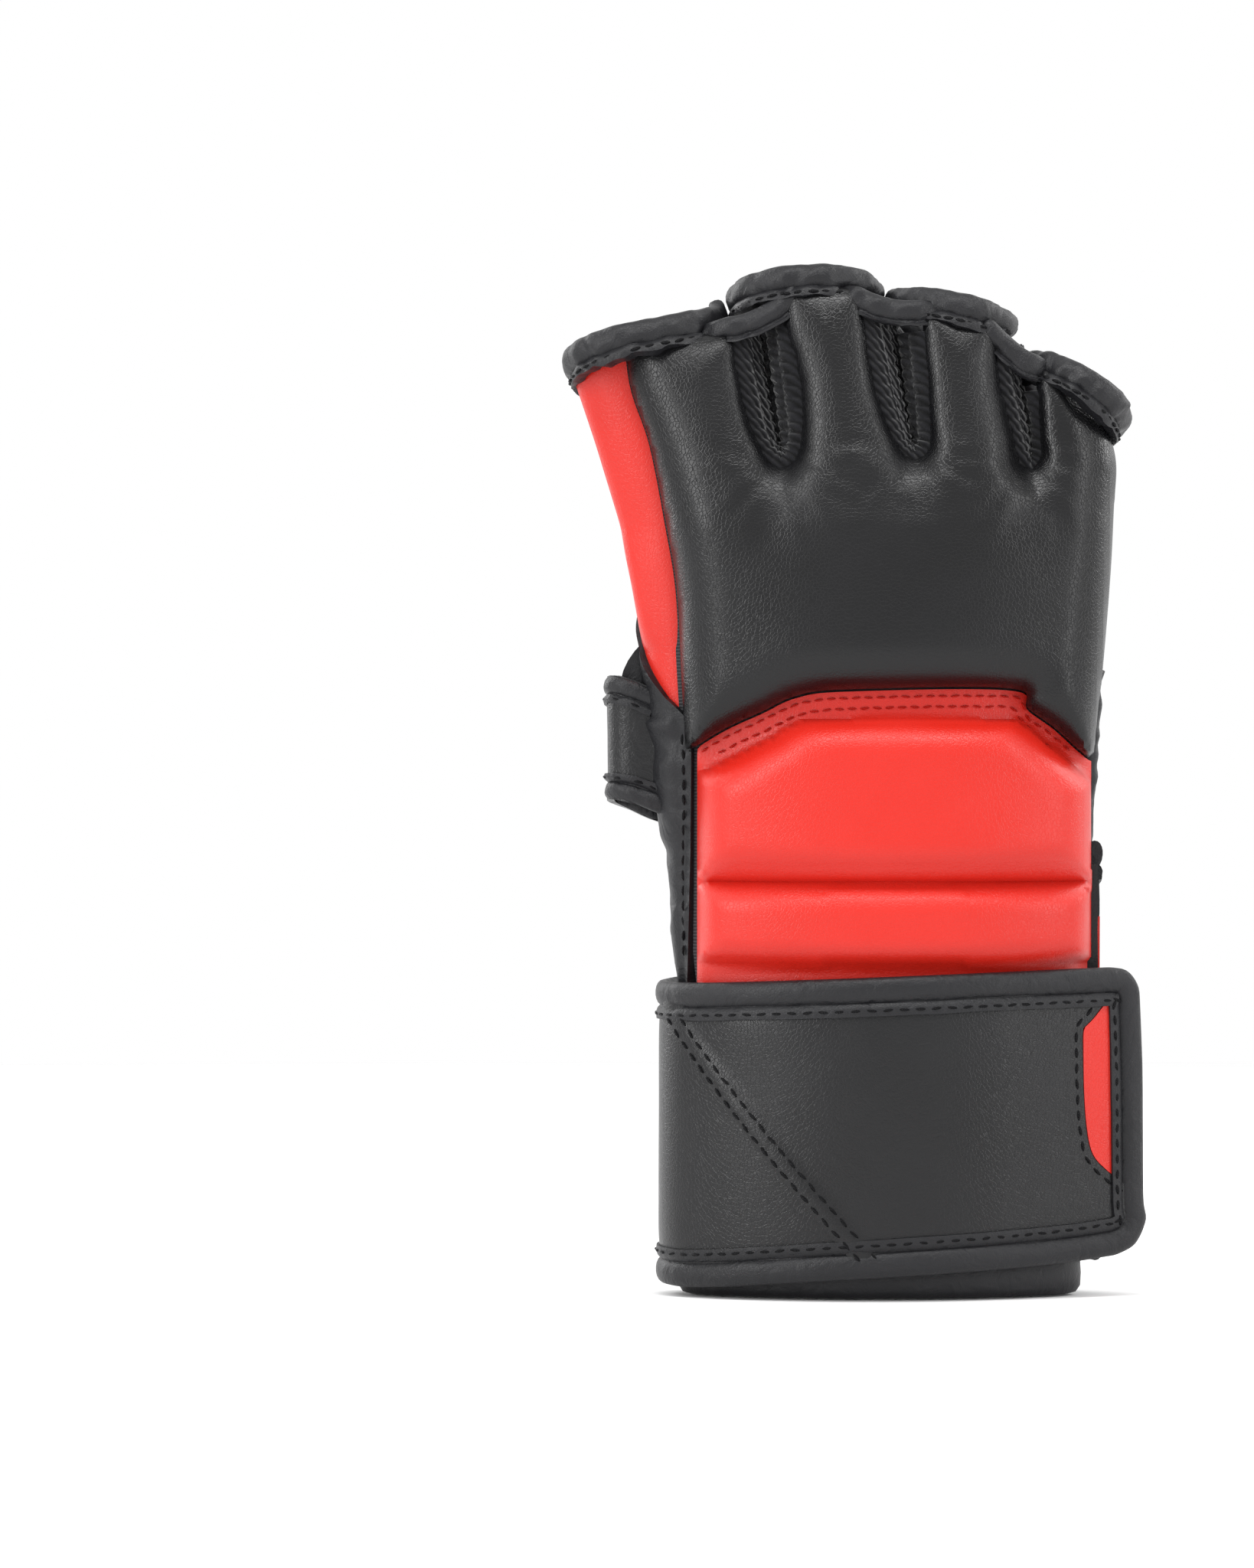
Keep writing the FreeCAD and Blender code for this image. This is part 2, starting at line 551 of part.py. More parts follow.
def wrap_pieces():
    """The length of strap over the inside of the wrist."""
    inset = rounded(strap_graded([(75.0, 12.0), (60.0, 17.0), (44.0, 32.0), (36.0, 62.0),
                                  (54.0, 86.0), (75.0, 102.0)]), [0, 10, 20, 12, 20, 0])
    outline = rounded(strap_graded(WRAP_OUTLINE), 0)
    pieces = strap_pieces(strap_layer, outline, slab(y=(MOVING_GAP, FAR)), inset, "strap_wrap")
    tape = pieces.pop("strap_wrap_tape")
    pieces["strap_wrap_top_tape"] = tape.common(slab(z=(up(40.0), FAR)))
    pieces["strap_wrap_bottom_tape"] = tape.common(slab(z=(-FAR, up(40.0))))
    return pieces


def tab_pieces():
    """The length of strap over the back of the wrist, which ends in the tab."""
    low, high = up(12.0), up(79.0)
    outline = rounded(strap_graded(TAB_LEFT) + strap_graded([(58.0, 8.5)])
                      + [(TAB_END_X, low), (TAB_END_X - 2.5, high)],
                      [0, 0, 0, TAB_CORNER, TAB_CORNER])
    inset = rounded([(TAB_END_X - 7.5, up(73.5)), (TAB_END_X - 16.0, up(66.0)),
                     (TAB_END_X - 16.5, up(33.0)), (TAB_END_X - 4.5, up(20.0)),
                     (TAB_END_X + 4.5, up(20.0)), (TAB_END_X + 4.5, up(73.5))],
                    [0, 3, 3, 0, 0, 0])
    keep = slab(y=(-FAR, -MOVING_GAP))
    pieces = strap_pieces(tab_layer, outline, keep, inset, "strap_tab")
    split = rounded(strap_graded(SPLIT), 0)
    panel = pieces["strap_tab_panel"]
    pieces["strap_tab_gore"] = panel.common(prism(grown(split, -GAP)))
    pieces["strap_tab_panel"] = panel.cut(prism(split))
    patch = prism(rounded(strap_graded([(-8.0, 16.0), (56.0, 20.0), (56.0, 70.0), (-8.0, 67.0)]), 4))
    hooks = tab_layer(-HOOK_PILE - GAP / 2, -GAP / 2)
    inside_tape = prism(grown(outline, -TAPE_WIDTH - GAP))
    pieces["hook_patch"] = hooks.common(patch).common(inside_tape).common(keep)
    return pieces


def loop_patch():
    """Soft loop pile on the back of the cuff, under the tab."""
    patch = rounded(strap_graded([(-16.0, 14.0), (32.0, 14.0), (32.0, 72.0), (-16.0, 72.0)]), 4)
    pile = layer(CUFF_PAD_TOP + GAP / 2, CUFF_PAD_TOP + GAP / 2 + LOOP_PILE)
    return pile.common(prism(patch, -FAR, PAD_SIDE_Y))


def strap_anchor():
    """Seam where the strap is sewn to the little-finger side of the cuff."""
    top = strap_graded([(0, 105.0)])[0][1]
    block = slab(x=(0, FAR), y=(PAD_SIDE_Y + GAP, -MOVING_GAP), z=(HEM_TOP + 1, top))
    return layer(LINING + TAPE_PROUD + GAP, 60).common(strap_body(STRAP_TOP)).common(block)


# ---- assembly ------------------------------------------------------------------------------
def make_parts():
    parts = {}
    parts["knuckle_cover"], parts["knuckle_foam"] = knuckle_pad()
    parts["backhand_cover"], foams = red_pads()
    parts["metacarpal_foam"], parts["wrist_foam"], parts["cuff_foam"] = foams
    parts["back_lining"] = back_lining()
    parts["thumb_side_gusset"] = thumb_gusset()
    parts["little_side_gusset"] = little_gusset()
    parts["palm_panel"] = palm_panel()
    parts["palm_arch_tape"] = palm_arch_tape()
    for name in VALLEY_WIRES:
        parts["fourchette_" + name] = fourchette(name)
    for finger in FINGERS:
        parts[finger[0] + "_finger_tape"] = finger_ring(finger)
    parts["thumb_edge_tape"] = side_tape((-FAR, 0), THUMB_CROTCH_Z)
    parts["little_edge_tape"] = side_tape((0, FAR), LITTLE_TAPE_END)
    parts["hem_tape"] = hem_tape()
    parts["wrist_elastic"] = wrist_elastic()
    strip = thumb_strip()
    parts["thumb_strip"], parts["thumb_strip_upper_tape"], parts["thumb_strip_lower_tape"] = strip
    parts["loop_patch"] = loop_patch()
    parts["strap_anchor"] = strap_anchor()
    parts.update(wrap_pieces())
    parts.update(tab_pieces())
    return parts


def bounds(shapes):
    box = FreeCAD.BoundBox()
    for shape in shapes:
        box.add(shape.optimalBoundingBox(True, False))
    return box


def main():
    os.makedirs("parts", exist_ok=True)
    parts = make_parts()
    box = bounds(parts.values())
    shift = Vector(-box.Center.x, -box.Center.y, -box.ZMin)
    print("size", round(box.XLength, 2), round(box.YLength, 2), round(box.ZLength, 2))
    for name, shape in parts.items():
        shape.translate(shift)
        sizes = [round(s.Volume) for s in shape.Solids]
        print(name, len(sizes), sizes, all(s.isValid() for s in shape.Solids))
        shape.exportStep(f"parts/{name}.step")
    outer = STRAP_TOP + TAPE_PROUD
    for name, side in (("strap_wrap", 1), ("strap_tab", -1)):
        pivot = Vector(WRIST_CENTRE_X + side * (STRAP_HALF_WIDTH + outer), 0, 0) + shift
        print("pivot", name, round(pivot.x, 3), round(pivot.y, 3))
    print("shift", [round(v, 3) for v in shift])


main()
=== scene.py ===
# %% [markdown]
# # Open-palm grappling glove, right hand
# The CAD model holds every piece at its size and place, and its strap turns on two hinges.
# This lesson gives the glove its looks: moulded pads, bound edges, knit between the fingers,
# a ribbed lining, a wrapped strap and all the stitching. Everything is worked in millimetres
# on the glove's own surfaces, and is put in place in metres at the end.

# %% Load the frame
import json
import math

import bmesh
import bpy
import numpy as np
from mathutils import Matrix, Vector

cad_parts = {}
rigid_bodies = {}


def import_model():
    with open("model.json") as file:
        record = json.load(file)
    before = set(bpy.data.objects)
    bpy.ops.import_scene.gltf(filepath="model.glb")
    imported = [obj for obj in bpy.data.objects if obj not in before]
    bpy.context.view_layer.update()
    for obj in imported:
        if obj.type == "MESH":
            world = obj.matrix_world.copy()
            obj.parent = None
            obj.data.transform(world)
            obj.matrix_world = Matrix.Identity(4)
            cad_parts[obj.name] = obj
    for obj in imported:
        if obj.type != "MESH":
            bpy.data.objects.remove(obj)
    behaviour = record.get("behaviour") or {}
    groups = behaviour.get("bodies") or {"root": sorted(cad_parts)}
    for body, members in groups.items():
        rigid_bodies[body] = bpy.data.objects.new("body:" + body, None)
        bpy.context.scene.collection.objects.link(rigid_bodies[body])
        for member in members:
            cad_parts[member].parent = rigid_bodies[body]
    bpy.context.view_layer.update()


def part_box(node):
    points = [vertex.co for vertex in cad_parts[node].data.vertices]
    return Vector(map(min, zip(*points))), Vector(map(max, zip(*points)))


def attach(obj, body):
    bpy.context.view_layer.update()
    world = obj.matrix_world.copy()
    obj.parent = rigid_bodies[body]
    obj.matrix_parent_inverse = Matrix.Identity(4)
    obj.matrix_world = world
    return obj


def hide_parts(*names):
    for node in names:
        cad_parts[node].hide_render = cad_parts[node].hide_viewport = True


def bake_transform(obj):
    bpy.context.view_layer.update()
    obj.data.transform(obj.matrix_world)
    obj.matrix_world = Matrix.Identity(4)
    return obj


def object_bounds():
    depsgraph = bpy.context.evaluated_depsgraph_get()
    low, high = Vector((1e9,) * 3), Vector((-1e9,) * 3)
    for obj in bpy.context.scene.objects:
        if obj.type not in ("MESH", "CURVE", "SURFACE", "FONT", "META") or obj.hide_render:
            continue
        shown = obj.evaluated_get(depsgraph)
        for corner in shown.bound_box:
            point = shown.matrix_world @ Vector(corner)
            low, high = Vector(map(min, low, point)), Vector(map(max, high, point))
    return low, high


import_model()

MM = 0.001

# %% [markdown]
# ## The surfaces that the glove is sewn on
# A glove is flat pieces sewn round a hand. So each piece here is drawn flat, as its paper
# pattern, and a surface says where a flat point goes. The hand is an oval of four arcs that
# widens towards the fingers. `off` is the height above the inside of the lining.

# %% The hand's oval and its three surfaces
hem_low, hem_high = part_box("hem_tape")
HOME = np.array([(hem_low[0] + hem_high[0]) * 500 - 6.5, hem_high[1] * 1000 - 5.0, 0.0])
OVAL_HEIGHTS = [0, 70, 105, 185, 252]
OVAL_SIZES = np.array([[6.5, 43, 21, 13, 9], [6.5, 43.5, 21, 13, 9], [6.3, 47, 22, 14, 9],
                       [2.7, 55.6, 20, 14, 9], [-3, 70.6, 15, 11.5, 8]])


def arcs(half, back, palm, end):
    """Reach of the end arcs, then radius, depth of the centre and half angle of each big arc."""
    c = half - end
    back_r = (c * c + back**2 - end**2) / (2 * (back - end))
    palm_r = (c * c + palm**2 - end**2) / (2 * (palm - end))
    return (c, back_r, back_r - back, np.arctan2(c, back_r - back),
            palm_r, palm_r - palm, np.arctan2(c, palm_r - palm))


def oval_at(z):
    return [np.interp(z, OVAL_HEIGHTS, OVAL_SIZES[:, k]) for k in range(5)]


def face_of_hand(x, z, off, side):
    """The back (side -1) or the palm (side 1) of the hand at x and z."""
    centre, half, back, palm, end = oval_at(z)
    c, back_r, back_c, back_a, palm_r, palm_c, palm_a = arcs(half, back, palm, end)
    r, deep, angle = (back_r, back_c, back_a) if side < 0 else (palm_r, palm_c, palm_a)
    dx = x - centre
    middle = np.sqrt(np.maximum((r + off) ** 2 - dx**2, 0)) - deep
    e = np.minimum(np.abs(dx) - c, end + off)
    rim = np.sqrt(np.maximum((end + off) ** 2 - e**2, 0))
    y = np.where(np.abs(dx) < (r + off) * np.sin(angle), middle, rim)
    return np.stack([x + 0 * y, side * y, z + 0 * y], -1)


def back_face(x, z, off):
    return face_of_hand(x, z, off, -1)


def palm_face(x, z, off):
    return face_of_hand(x, z, off, 1)


def edge_face(s, z, off, side):
    """Round the side of the hand: s runs from the side's outermost line, negative to the back."""
    centre, half, back, palm, end = oval_at(z)
    c, back_r, back_c, back_a, palm_r, palm_c, palm_a = arcs(half, back, palm, end)
    to_back = s < 0
    angle = np.where(to_back, back_a, palm_a)
    r = np.where(to_back, back_r, palm_r)
    deep = np.where(to_back, back_c, palm_c)
    d = np.abs(s)
    turn = (np.pi / 2 - angle) * end
    phi = np.minimum(d, turn) / end
    b = angle - np.maximum(d - turn, 0) / r
    x = np.where(d < turn, c + (end + off) * np.cos(phi), (r + off) * np.sin(b))
    y = np.where(d < turn, (end + off) * np.sin(phi), (r + off) * np.cos(b) - deep)
    return np.stack([centre + side * x, np.where(to_back, -y, y), z + 0 * y], -1)


def thumb_edge_face(s, z, off):
    return edge_face(s, z, off, -1)


def little_edge_face(s, z, off):
    return edge_face(s, z, off, 1)


def back_wrap(q, z, off):
    """The whole back panel from side seam (q = -60) to side seam (q = 60)."""
    _, half, back, palm, end = oval_at(z)
    _, back_r, _, back_a = arcs(half, back, palm, end)[:4]
    length = back_r * back_a + (np.pi / 2 - back_a) * end
    s = -length * (1 - np.abs(q) / 60)
    left, right = edge_face(s, z, off, -1), edge_face(s, z, off, 1)
    return np.where((q < 0)[..., None], left, right)


print("hand at the cuff", np.round(oval_at(0.0), 1), "moved by", np.round(HOME, 2))

# %% The strap's run
STRAP = {"centre": 6.5, "half": 50.9, "back": 30.2, "palm": 20.6, "end": 16.6}
TAB_TURN = math.radians(26.0)
TAB_REACH = 71.2


def measured(rows):
    """Lengths along a run, and its rows of place and outward normal."""
    rows = np.array(rows)
    steps = np.linalg.norm(np.diff(rows[:, :2], axis=0), axis=1)
    return np.concatenate([[0], np.cumsum(steps)]), rows


def face_of_run(lengths, run):
    def face(s, z, off):
        x, y, nx, ny = (np.interp(s, lengths, run[:, k]) for k in range(4))
        return np.stack([x + off * nx, y + off * ny, z + 0 * x], -1)
    return face


def strap_run():
    """Table of the strap's middle line: length, place and outward normal, from its sewn end."""
    cx, r = STRAP["centre"], STRAP["end"]
    c, back_r, back_c, back_a, palm_r, palm_c, palm_a = arcs(
        STRAP["half"], STRAP["back"], STRAP["palm"], r)
    rows = []

    def arc(x, y, radius, start, end):
        steps = max(8, int(abs(end - start) * radius / 0.5))
        for t in np.linspace(start, end, steps, endpoint=False):
            rows.append((x + radius * math.cos(t), y + radius * math.sin(t), math.cos(t), math.sin(t)))

    quarter = math.pi / 2
    arc(cx + c, 0, r, 0, quarter - palm_a)
    arc(cx, -palm_c, palm_r, quarter - palm_a, quarter + palm_a)
    arc(cx - c, 0, r, quarter + palm_a, math.pi)
    thumb_row = len(rows)
    arc(cx - c, 0, r, math.pi, math.pi + quarter - back_a)
    arc(cx, back_c, back_r, 3 * quarter - back_a, 3 * quarter + TAB_TURN)
    x, y = cx + back_r * math.sin(TAB_TURN), back_c - back_r * math.cos(TAB_TURN)
    for t in np.arange(0, (TAB_REACH + 4 - x) / math.cos(TAB_TURN), 0.5):
        rows.append((x + t * math.cos(TAB_TURN), y + t * math.sin(TAB_TURN),
                     math.sin(TAB_TURN), -math.cos(TAB_TURN)))
    s, rows = measured(rows)
    return s, rows, float(s[thumb_row])


RUN_S, RUN, S_THUMB = strap_run()
strap_face = face_of_run(RUN_S, RUN)


def s_on_palm(x):
    part = RUN_S <= S_THUMB
    return float(np.interp(-x, -RUN[part, 0], RUN_S[part]))


def s_on_back(x):
    part = RUN_S >= S_THUMB
    return float(np.interp(x, RUN[part, 0], RUN_S[part]))


print("strap is", round(s_on_back(TAB_REACH)), "mm long; thumb side at", round(S_THUMB))

# %% The finger openings and the thumb strip's run
FINGERS = {
    "index": ((-50.0, -3.0, 230.0), 19.3, -20.0),
    "middle": ((-11.5, -3.0, 240.0), 17.3, -3.0),
    "ring": ((23.4, -3.0, 236.0), 14.6, 12.0),
    "little": ((53.0, -3.0, 217.0), 13.6, 33.0),
}
FINGER_DEPTH = 16.5
FINGER_TILT = math.radians(18.0)


def finger_axes(name):
    """The opening's own side, depth and outward directions."""
    lean = math.radians(FINGERS[name][2])
    tilt = np.array([[1, 0, 0], [0, math.cos(FINGER_TILT), math.sin(FINGER_TILT)],
                     [0, -math.sin(FINGER_TILT), math.cos(FINGER_TILT)]])
    turn = np.array([[math.cos(lean), 0, math.sin(lean)], [0, 1, 0],
                     [-math.sin(lean), 0, math.cos(lean)]])
    return turn @ tilt


def finger_face(name):
    """Round one opening: a is 20 mm times the angle, b the height along the finger."""
    centre, half, _ = FINGERS[name]
    axes = finger_axes(name)

    def face(a, b, off):
        t = a / 20
        local = np.stack([(half + off) * np.cos(t), (FINGER_DEPTH + off) * np.sin(t), b + 0 * t], -1)
        return local @ axes.T + np.array(centre)

    return face


def strip_run():
    """The thumb strip's line: along the palm, then out round the thumb's base and back."""
    c, r = 47.0 - 9.0, 9.0
    palm_r = (c * c + 14.0**2 - r * r) / (2 * (14.0 - r))
    low = 2.8
    rows = []
    turn = math.asin(34.5 / palm_r)
    for t in np.arange(turn, -turn, -0.5 / palm_r):
        rows.append((6.5 + (palm_r + low) * math.sin(t), 14 - palm_r + (palm_r + low) * math.cos(t),
                     math.sin(t), math.cos(t)))
    along, out = (-math.cos(turn), -math.sin(turn)), (-math.sin(turn), math.cos(turn))
    x, y = rows[-1][:2]
    bend = 5.0
    hub_x = -57.5 + bend
    length = (hub_x + bend * out[0] - x) / along[0]
    for t in np.arange(0.5, length, 0.5):
        rows.append((x + t * along[0], y + t * along[1], out[0], out[1]))
    hub_y = rows[-1][1] - bend * out[1]
    start = math.atan2(out[1], out[0])
    for t in np.arange(start, 1.5 * math.pi, 0.5 / bend):
        rows.append((hub_x + bend * math.cos(t), hub_y + bend * math.sin(t), math.cos(t), math.sin(t)))
    x, y = rows[-1][:2]
    for t in np.arange(0.5, -45.5 - x, 0.5):
        rows.append((x + t, y, 0, -1))
    return measured(rows)


STRIP_S, STRIP = strip_run()
S_FOLD = float(STRIP_S[np.argmin(STRIP[:, 0])])
strip_face = face_of_run(STRIP_S, STRIP)


print("thumb strip runs", round(float(STRIP_S[-1])), "mm, folding at", round(S_FOLD))

# %% [markdown]
# ## Drawing lines and measuring from them
# Sewn edges are smooth curves through a few marks, so a line is a spline through those marks,
# sampled evenly. Puffing, wrinkles and stitches all depend on the distance to a seam or on a
# soft random field, so those two measures come next.

# %% Lines, distances and soft randomness
def even(line, step, closed=False):
    """The same line with points every step mm."""
    line = np.asarray(line, float)
    if closed:
        line = np.vstack([line, line[:1]])
    s = np.concatenate([[0], np.cumsum(np.linalg.norm(np.diff(line, axis=0), axis=1))])
    n = max(2, int(round(s[-1] / step)))
    t = np.linspace(0, s[-1], n + 1)
    out = np.stack([np.interp(t, s, line[:, k]) for k in range(line.shape[1])], -1)
    return out[:-1] if closed else out


def curve(marks, step=1.0):
    """A smooth line through the marks."""
    p = np.asarray(marks, float)
    q = np.vstack([2 * p[0] - p[1], p, 2 * p[-1] - p[-2]])
    out = []
    for i in range(len(q) - 3):
        a, b, c, d = q[i:i + 4]
        t = np.linspace(0, 1, 16, endpoint=False)[:, None]
        out.append(0.5 * (2 * b + (c - a) * t + (2 * a - 5 * b + 4 * c - d) * t**2
                          + (3 * b - a - 3 * c + d) * t**3))
    out.append(p[-1:])
    return even(np.vstack(out), step)


def gap_to(a, b, line):
    """Distance of each flat point to a closed line."""
    start = np.asarray(line, float)
    p = np.stack([a, b], -1)[:, None, :]
    ab = (np.roll(start, -1, 0) - start)[None]
    t = np.clip(((p - start[None]) * ab).sum(-1) / np.maximum((ab**2).sum(-1), 1e-9), 0, 1)
    return np.sqrt((((p - start[None]) - t[..., None] * ab) ** 2).sum(-1)).min(1)


def crown(d, width):
    """0 at a seam, 1 from width mm inwards, round like a stuffed edge."""
    t = 1 - np.clip(d / width, 0, 1)
    return np.sqrt(np.maximum(1 - t * t, 0))


def soft_random(a, b, size, seed):
    """Smooth random field between -1 and 1 with lumps about size mm across."""
    x, y = np.asarray(a, float) / size + 37.1 * seed, np.asarray(b, float) / size + 11.7 * seed
    xi, yi = np.floor(x), np.floor(y)
    fx, fy = x - xi, y - yi
    fx, fy = fx * fx * (3 - 2 * fx), fy * fy * (3 - 2 * fy)

    def lattice(i, j):
        h = np.sin(i * 127.1 + j * 311.7 + seed * 74.7) * 43758.5453
        return 2 * (h - np.floor(h)) - 1

    top = lattice(xi, yi) * (1 - fx) + lattice(xi + 1, yi) * fx
    low = lattice(xi, yi + 1) * (1 - fx) + lattice(xi + 1, yi + 1) * fx
    return top * (1 - fy) + low * fy


# %% [markdown]
# ## Cutting and sewing
# A leather piece is a flat face cut to its outline. Slicing it into a grid gives it enough
# points to bend, and extruding it once gives it thickness. A binding tape is a strip folded
# over an edge, so its section, a soft roll with a stitched lip, is carried along the edge.
# A stitch is one small thread bead, copied along the seam.

# %% Cut a flat piece and lay it on a surface
PIECES = {}


def lone(obj):
    bpy.ops.object.select_all(action="DESELECT")
    bpy.context.view_layer.objects.active = obj
    obj.select_set(True)
    return obj


def keep(obj, body, material, replaces=(), smooth=60):
    """Give the piece its body (a piece given a tuple is only baked in place), its finish in a fresh slot,
    and hide the nodes that it stands for.
    """
    lone(obj)
    bpy.ops.object.shade_smooth_by_angle(angle=math.radians(smooth))
    obj.data.materials.clear()
    obj.data.materials.append(material)
    if isinstance(body, str):
        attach(obj, body)
    else:
        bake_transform(obj)
    if replaces:
        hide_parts(*replaces)
    PIECES[obj.name] = obj
    return obj


def linked(name, mesh):
    obj = bpy.data.objects.new(name, mesh)
    bpy.context.scene.collection.objects.link(obj)
    return lone(obj)


def outward(obj):
    """Turn every face of a closed piece outwards."""
    lone(obj)
    bpy.ops.object.mode_set(mode="EDIT")
    bpy.ops.mesh.select_all(action="SELECT")
    bpy.ops.mesh.normals_make_consistent(inside=False)
    bpy.ops.object.mode_set(mode="OBJECT")
    return obj


def rulings(outline, step):
    """Planes across a flat cut, every step mm both ways, as a point and a normal."""
    flat = np.asarray(outline)
    for axis in (0, 1):
        for mark in np.arange(flat[:, axis].min() + step, flat[:, axis].max(), step):
            yield (mark * (1 - axis), mark * axis, 0), (1 - axis, axis, 0)


def place(obj, points):
    obj.data.vertices.foreach_set("co", ((points + HOME) * MM).ravel())
    obj.data.update()


def lay(name, bm, surface, low, high):
    """Give a flat cut its two levels and lay it on its surface."""
    bmesh.ops.remove_doubles(bm, verts=bm.verts[:], dist=0.02)
    bmesh.ops.triangulate(bm, faces=[f for f in bm.faces if len(f.verts) > 4])
    grown = bmesh.ops.extrude_face_region(bm, geom=bm.faces[:])["geom"]
    for v in grown:
        if isinstance(v, bmesh.types.BMVert):
            v.co.z = 1
    mesh = bpy.data.meshes.new(name)
    bm.to_mesh(mesh)
    bm.free()
    obj = linked(name, mesh)
    flat = np.empty(len(mesh.vertices) * 3)
    mesh.vertices.foreach_get("co", flat)
    a, b, level = flat.reshape(-1, 3).T
    inner = low(a, b) if callable(low) else np.full_like(a, low)
    outer = high(a, b) if callable(high) else np.full_like(a, high)
    place(obj, surface(a, b, inner + (outer - inner) * level))
    return outward(obj)


def cut_piece(name, surface, outline, low, high, step=2.0):
    """A flat outline cut out, given two sides, and laid on a surface between two heights."""
    bm = bmesh.new()
    bm.faces.new([bm.verts.new((a, b, 0)) for a, b in outline])
    for spot, normal in rulings(outline, step):
        bmesh.ops.bisect_plane(bm, geom=bm.verts[:] + bm.edges[:] + bm.faces[:],
                               plane_co=spot, plane_no=normal, dist=1e-5)
    return lay(name, bm, surface, low, high)


# %% Fold a tape over an edge
def tape_section(roll, lip, puff, sheet=0.9, thin=0.75):
    """Closed outline (distance in from the edge, height) of a folded and stitched tape."""
    t = np.linspace(0.12 * math.pi, math.pi, 9)
    front = [(roll / 2 + roll / 2 * math.cos(k), max(puff * math.sin(k) ** 0.8, 0.02)) for k in t]
    lip_front = [(roll + lip, sheet), (roll + lip, sheet + thin), (roll + lip * 0.5, sheet + thin * 1.25),
                 (roll + 0.5, sheet + thin * 0.75)]
    back = [(w, -0.8 * h) for w, h in reversed(front[:-1])]
    lip_back = [(w, -h) for w, h in reversed(lip_front)]
    return np.array(lip_front + front + back + lip_back)


def sweep(name, points, closed):
    """A closed skin through rows of section points."""
    n, m = points.shape[:2]
    rows = n + 1 if closed else n
    lone(bpy.context.scene.objects[0])
    bpy.ops.object.select_all(action="DESELECT")
    bpy.ops.mesh.primitive_grid_add(x_subdivisions=rows - 1, y_subdivisions=m, size=1)
    obj = bpy.context.object
    obj.name = obj.data.name = name
    flat = np.empty(len(obj.data.vertices) * 3)
    obj.data.vertices.foreach_get("co", flat)
    flat = flat.reshape(-1, 3)
    i = np.rint((flat[:, 0] + 0.5) * (rows - 1)).astype(int) % n
    j = np.rint((flat[:, 1] + 0.5) * m).astype(int) % m
    place(obj, points[i, j])
    bpy.ops.object.mode_set(mode="EDIT")
    bpy.ops.mesh.select_all(action="SELECT")
    bpy.ops.mesh.remove_doubles(threshold=1e-6)
    if not closed:
        bpy.ops.mesh.select_all(action="SELECT")
        bpy.ops.mesh.fill_holes(sides=0)
    bpy.ops.object.mode_set(mode="OBJECT")
    return outward(obj)


def inward_of(line, turn):
    """Unit directions square to a line: to its left for turn = 1, to its right for -1."""
    along = np.gradient(line, axis=0)
    along /= np.maximum(np.linalg.norm(along, axis=1, keepdims=True), 1e-9)
    return turn * np.stack([-along[:, 1], along[:, 0]], -1)


def tape(name, surface, line, section, base, turn=1, closed=False, pleat=0.0, pitch=4.0, seed=1, step=1.3):
    """Tape folded over the edge line; turn = 1 puts the sheet on the line's left."""
    line = np.asarray(line, float) if closed else even(line, step)
    inward = inward_of(line, turn)
    along = np.arange(len(line)) * step
    lump = soft_random(along, 0 * along, pitch, seed)
    lump = lump + 0.5 * soft_random(along, 0 * along, pitch / 2, seed + 5)
    if closed:
        fade = np.clip(np.minimum(np.arange(len(line)), len(line) - np.arange(len(line))) / 6, 0, 1)
        lump = lump * fade
    w = section[None, :, 0] * (1 + 0.05 * pleat * lump[:, None])
    across = section[None, :, 0]
    skew = soft_random(along[:, None] + 0.8 * across, across, pitch * 0.8, seed + 9)
    h = section[None, :, 1] + pleat * 0.35 * (lump[:, None] + skew) * np.sign(section[None, :, 1]) * (
        section[None, :, 0] < section[:, 0].max() * 0.98)
    flat = line[:, None, :] + inward[:, None, :] * w[..., None]
    return sweep(name, surface(flat[..., 0], flat[..., 1], base + h), closed)


# %% Stitch a seam
def bead():
    """One stitch: a thread that rises out of its hole and goes down again."""
    bpy.ops.object.select_all(action="DESELECT")
    bpy.ops.mesh.primitive_uv_sphere_add(segments=6, ring_count=5, radius=0.5)
    obj = bpy.context.object
    co = np.array([v.co[:] for v in obj.data.vertices])
    faces = [tuple(p.vertices) for p in obj.data.polygons]
    bpy.data.objects.remove(obj)
    co = co[:, [2, 0, 1]]
    co[:, 2] -= 1.1 * co[:, 0] ** 2
    return co, faces


BEAD, BEAD_FACES = bead()


def stitches(name, seams, length=2.7, pitch=3.7, thick=0.75):
    """Stitches along seams, each (surface, line, height)."""
    verts, faces = [], []
    for surface, line, height in seams:
        line = even(line, pitch)
        d = inward_of(line, 1)
        along = np.stack([d[:, 1], -d[:, 0]], -1)
        off = np.full(len(line), height, float) if not callable(height) else height(line[:, 0], line[:, 1])
        centre = surface(line[:, 0], line[:, 1], off)
        ahead = surface(line[:, 0] + along[:, 0], line[:, 1] + along[:, 1], off) - centre
        up = surface(line[:, 0], line[:, 1], off + 1.0) - centre
        ahead /= np.linalg.norm(ahead, axis=1, keepdims=True)
        up /= np.linalg.norm(up, axis=1, keepdims=True)
        side = np.cross(up, ahead)
        for k in range(len(line)):
            wob = 0.12 * math.sin(k * 2.4 + len(line))
            p = (centre[k] + BEAD[:, :1] * length * (ahead[k] + wob * side[k])
                 + BEAD[:, 1:2] * thick * side[k] + BEAD[:, 2:] * thick * up[k])
            faces += [tuple(i + len(verts) * len(BEAD) for i in f) for f in BEAD_FACES]
            verts.append(p)
    mesh = bpy.data.meshes.new(name)
    mesh.from_pydata([tuple(v) for v in (np.vstack(verts) + HOME) * MM], [], faces)
    return outward(linked(name, mesh))


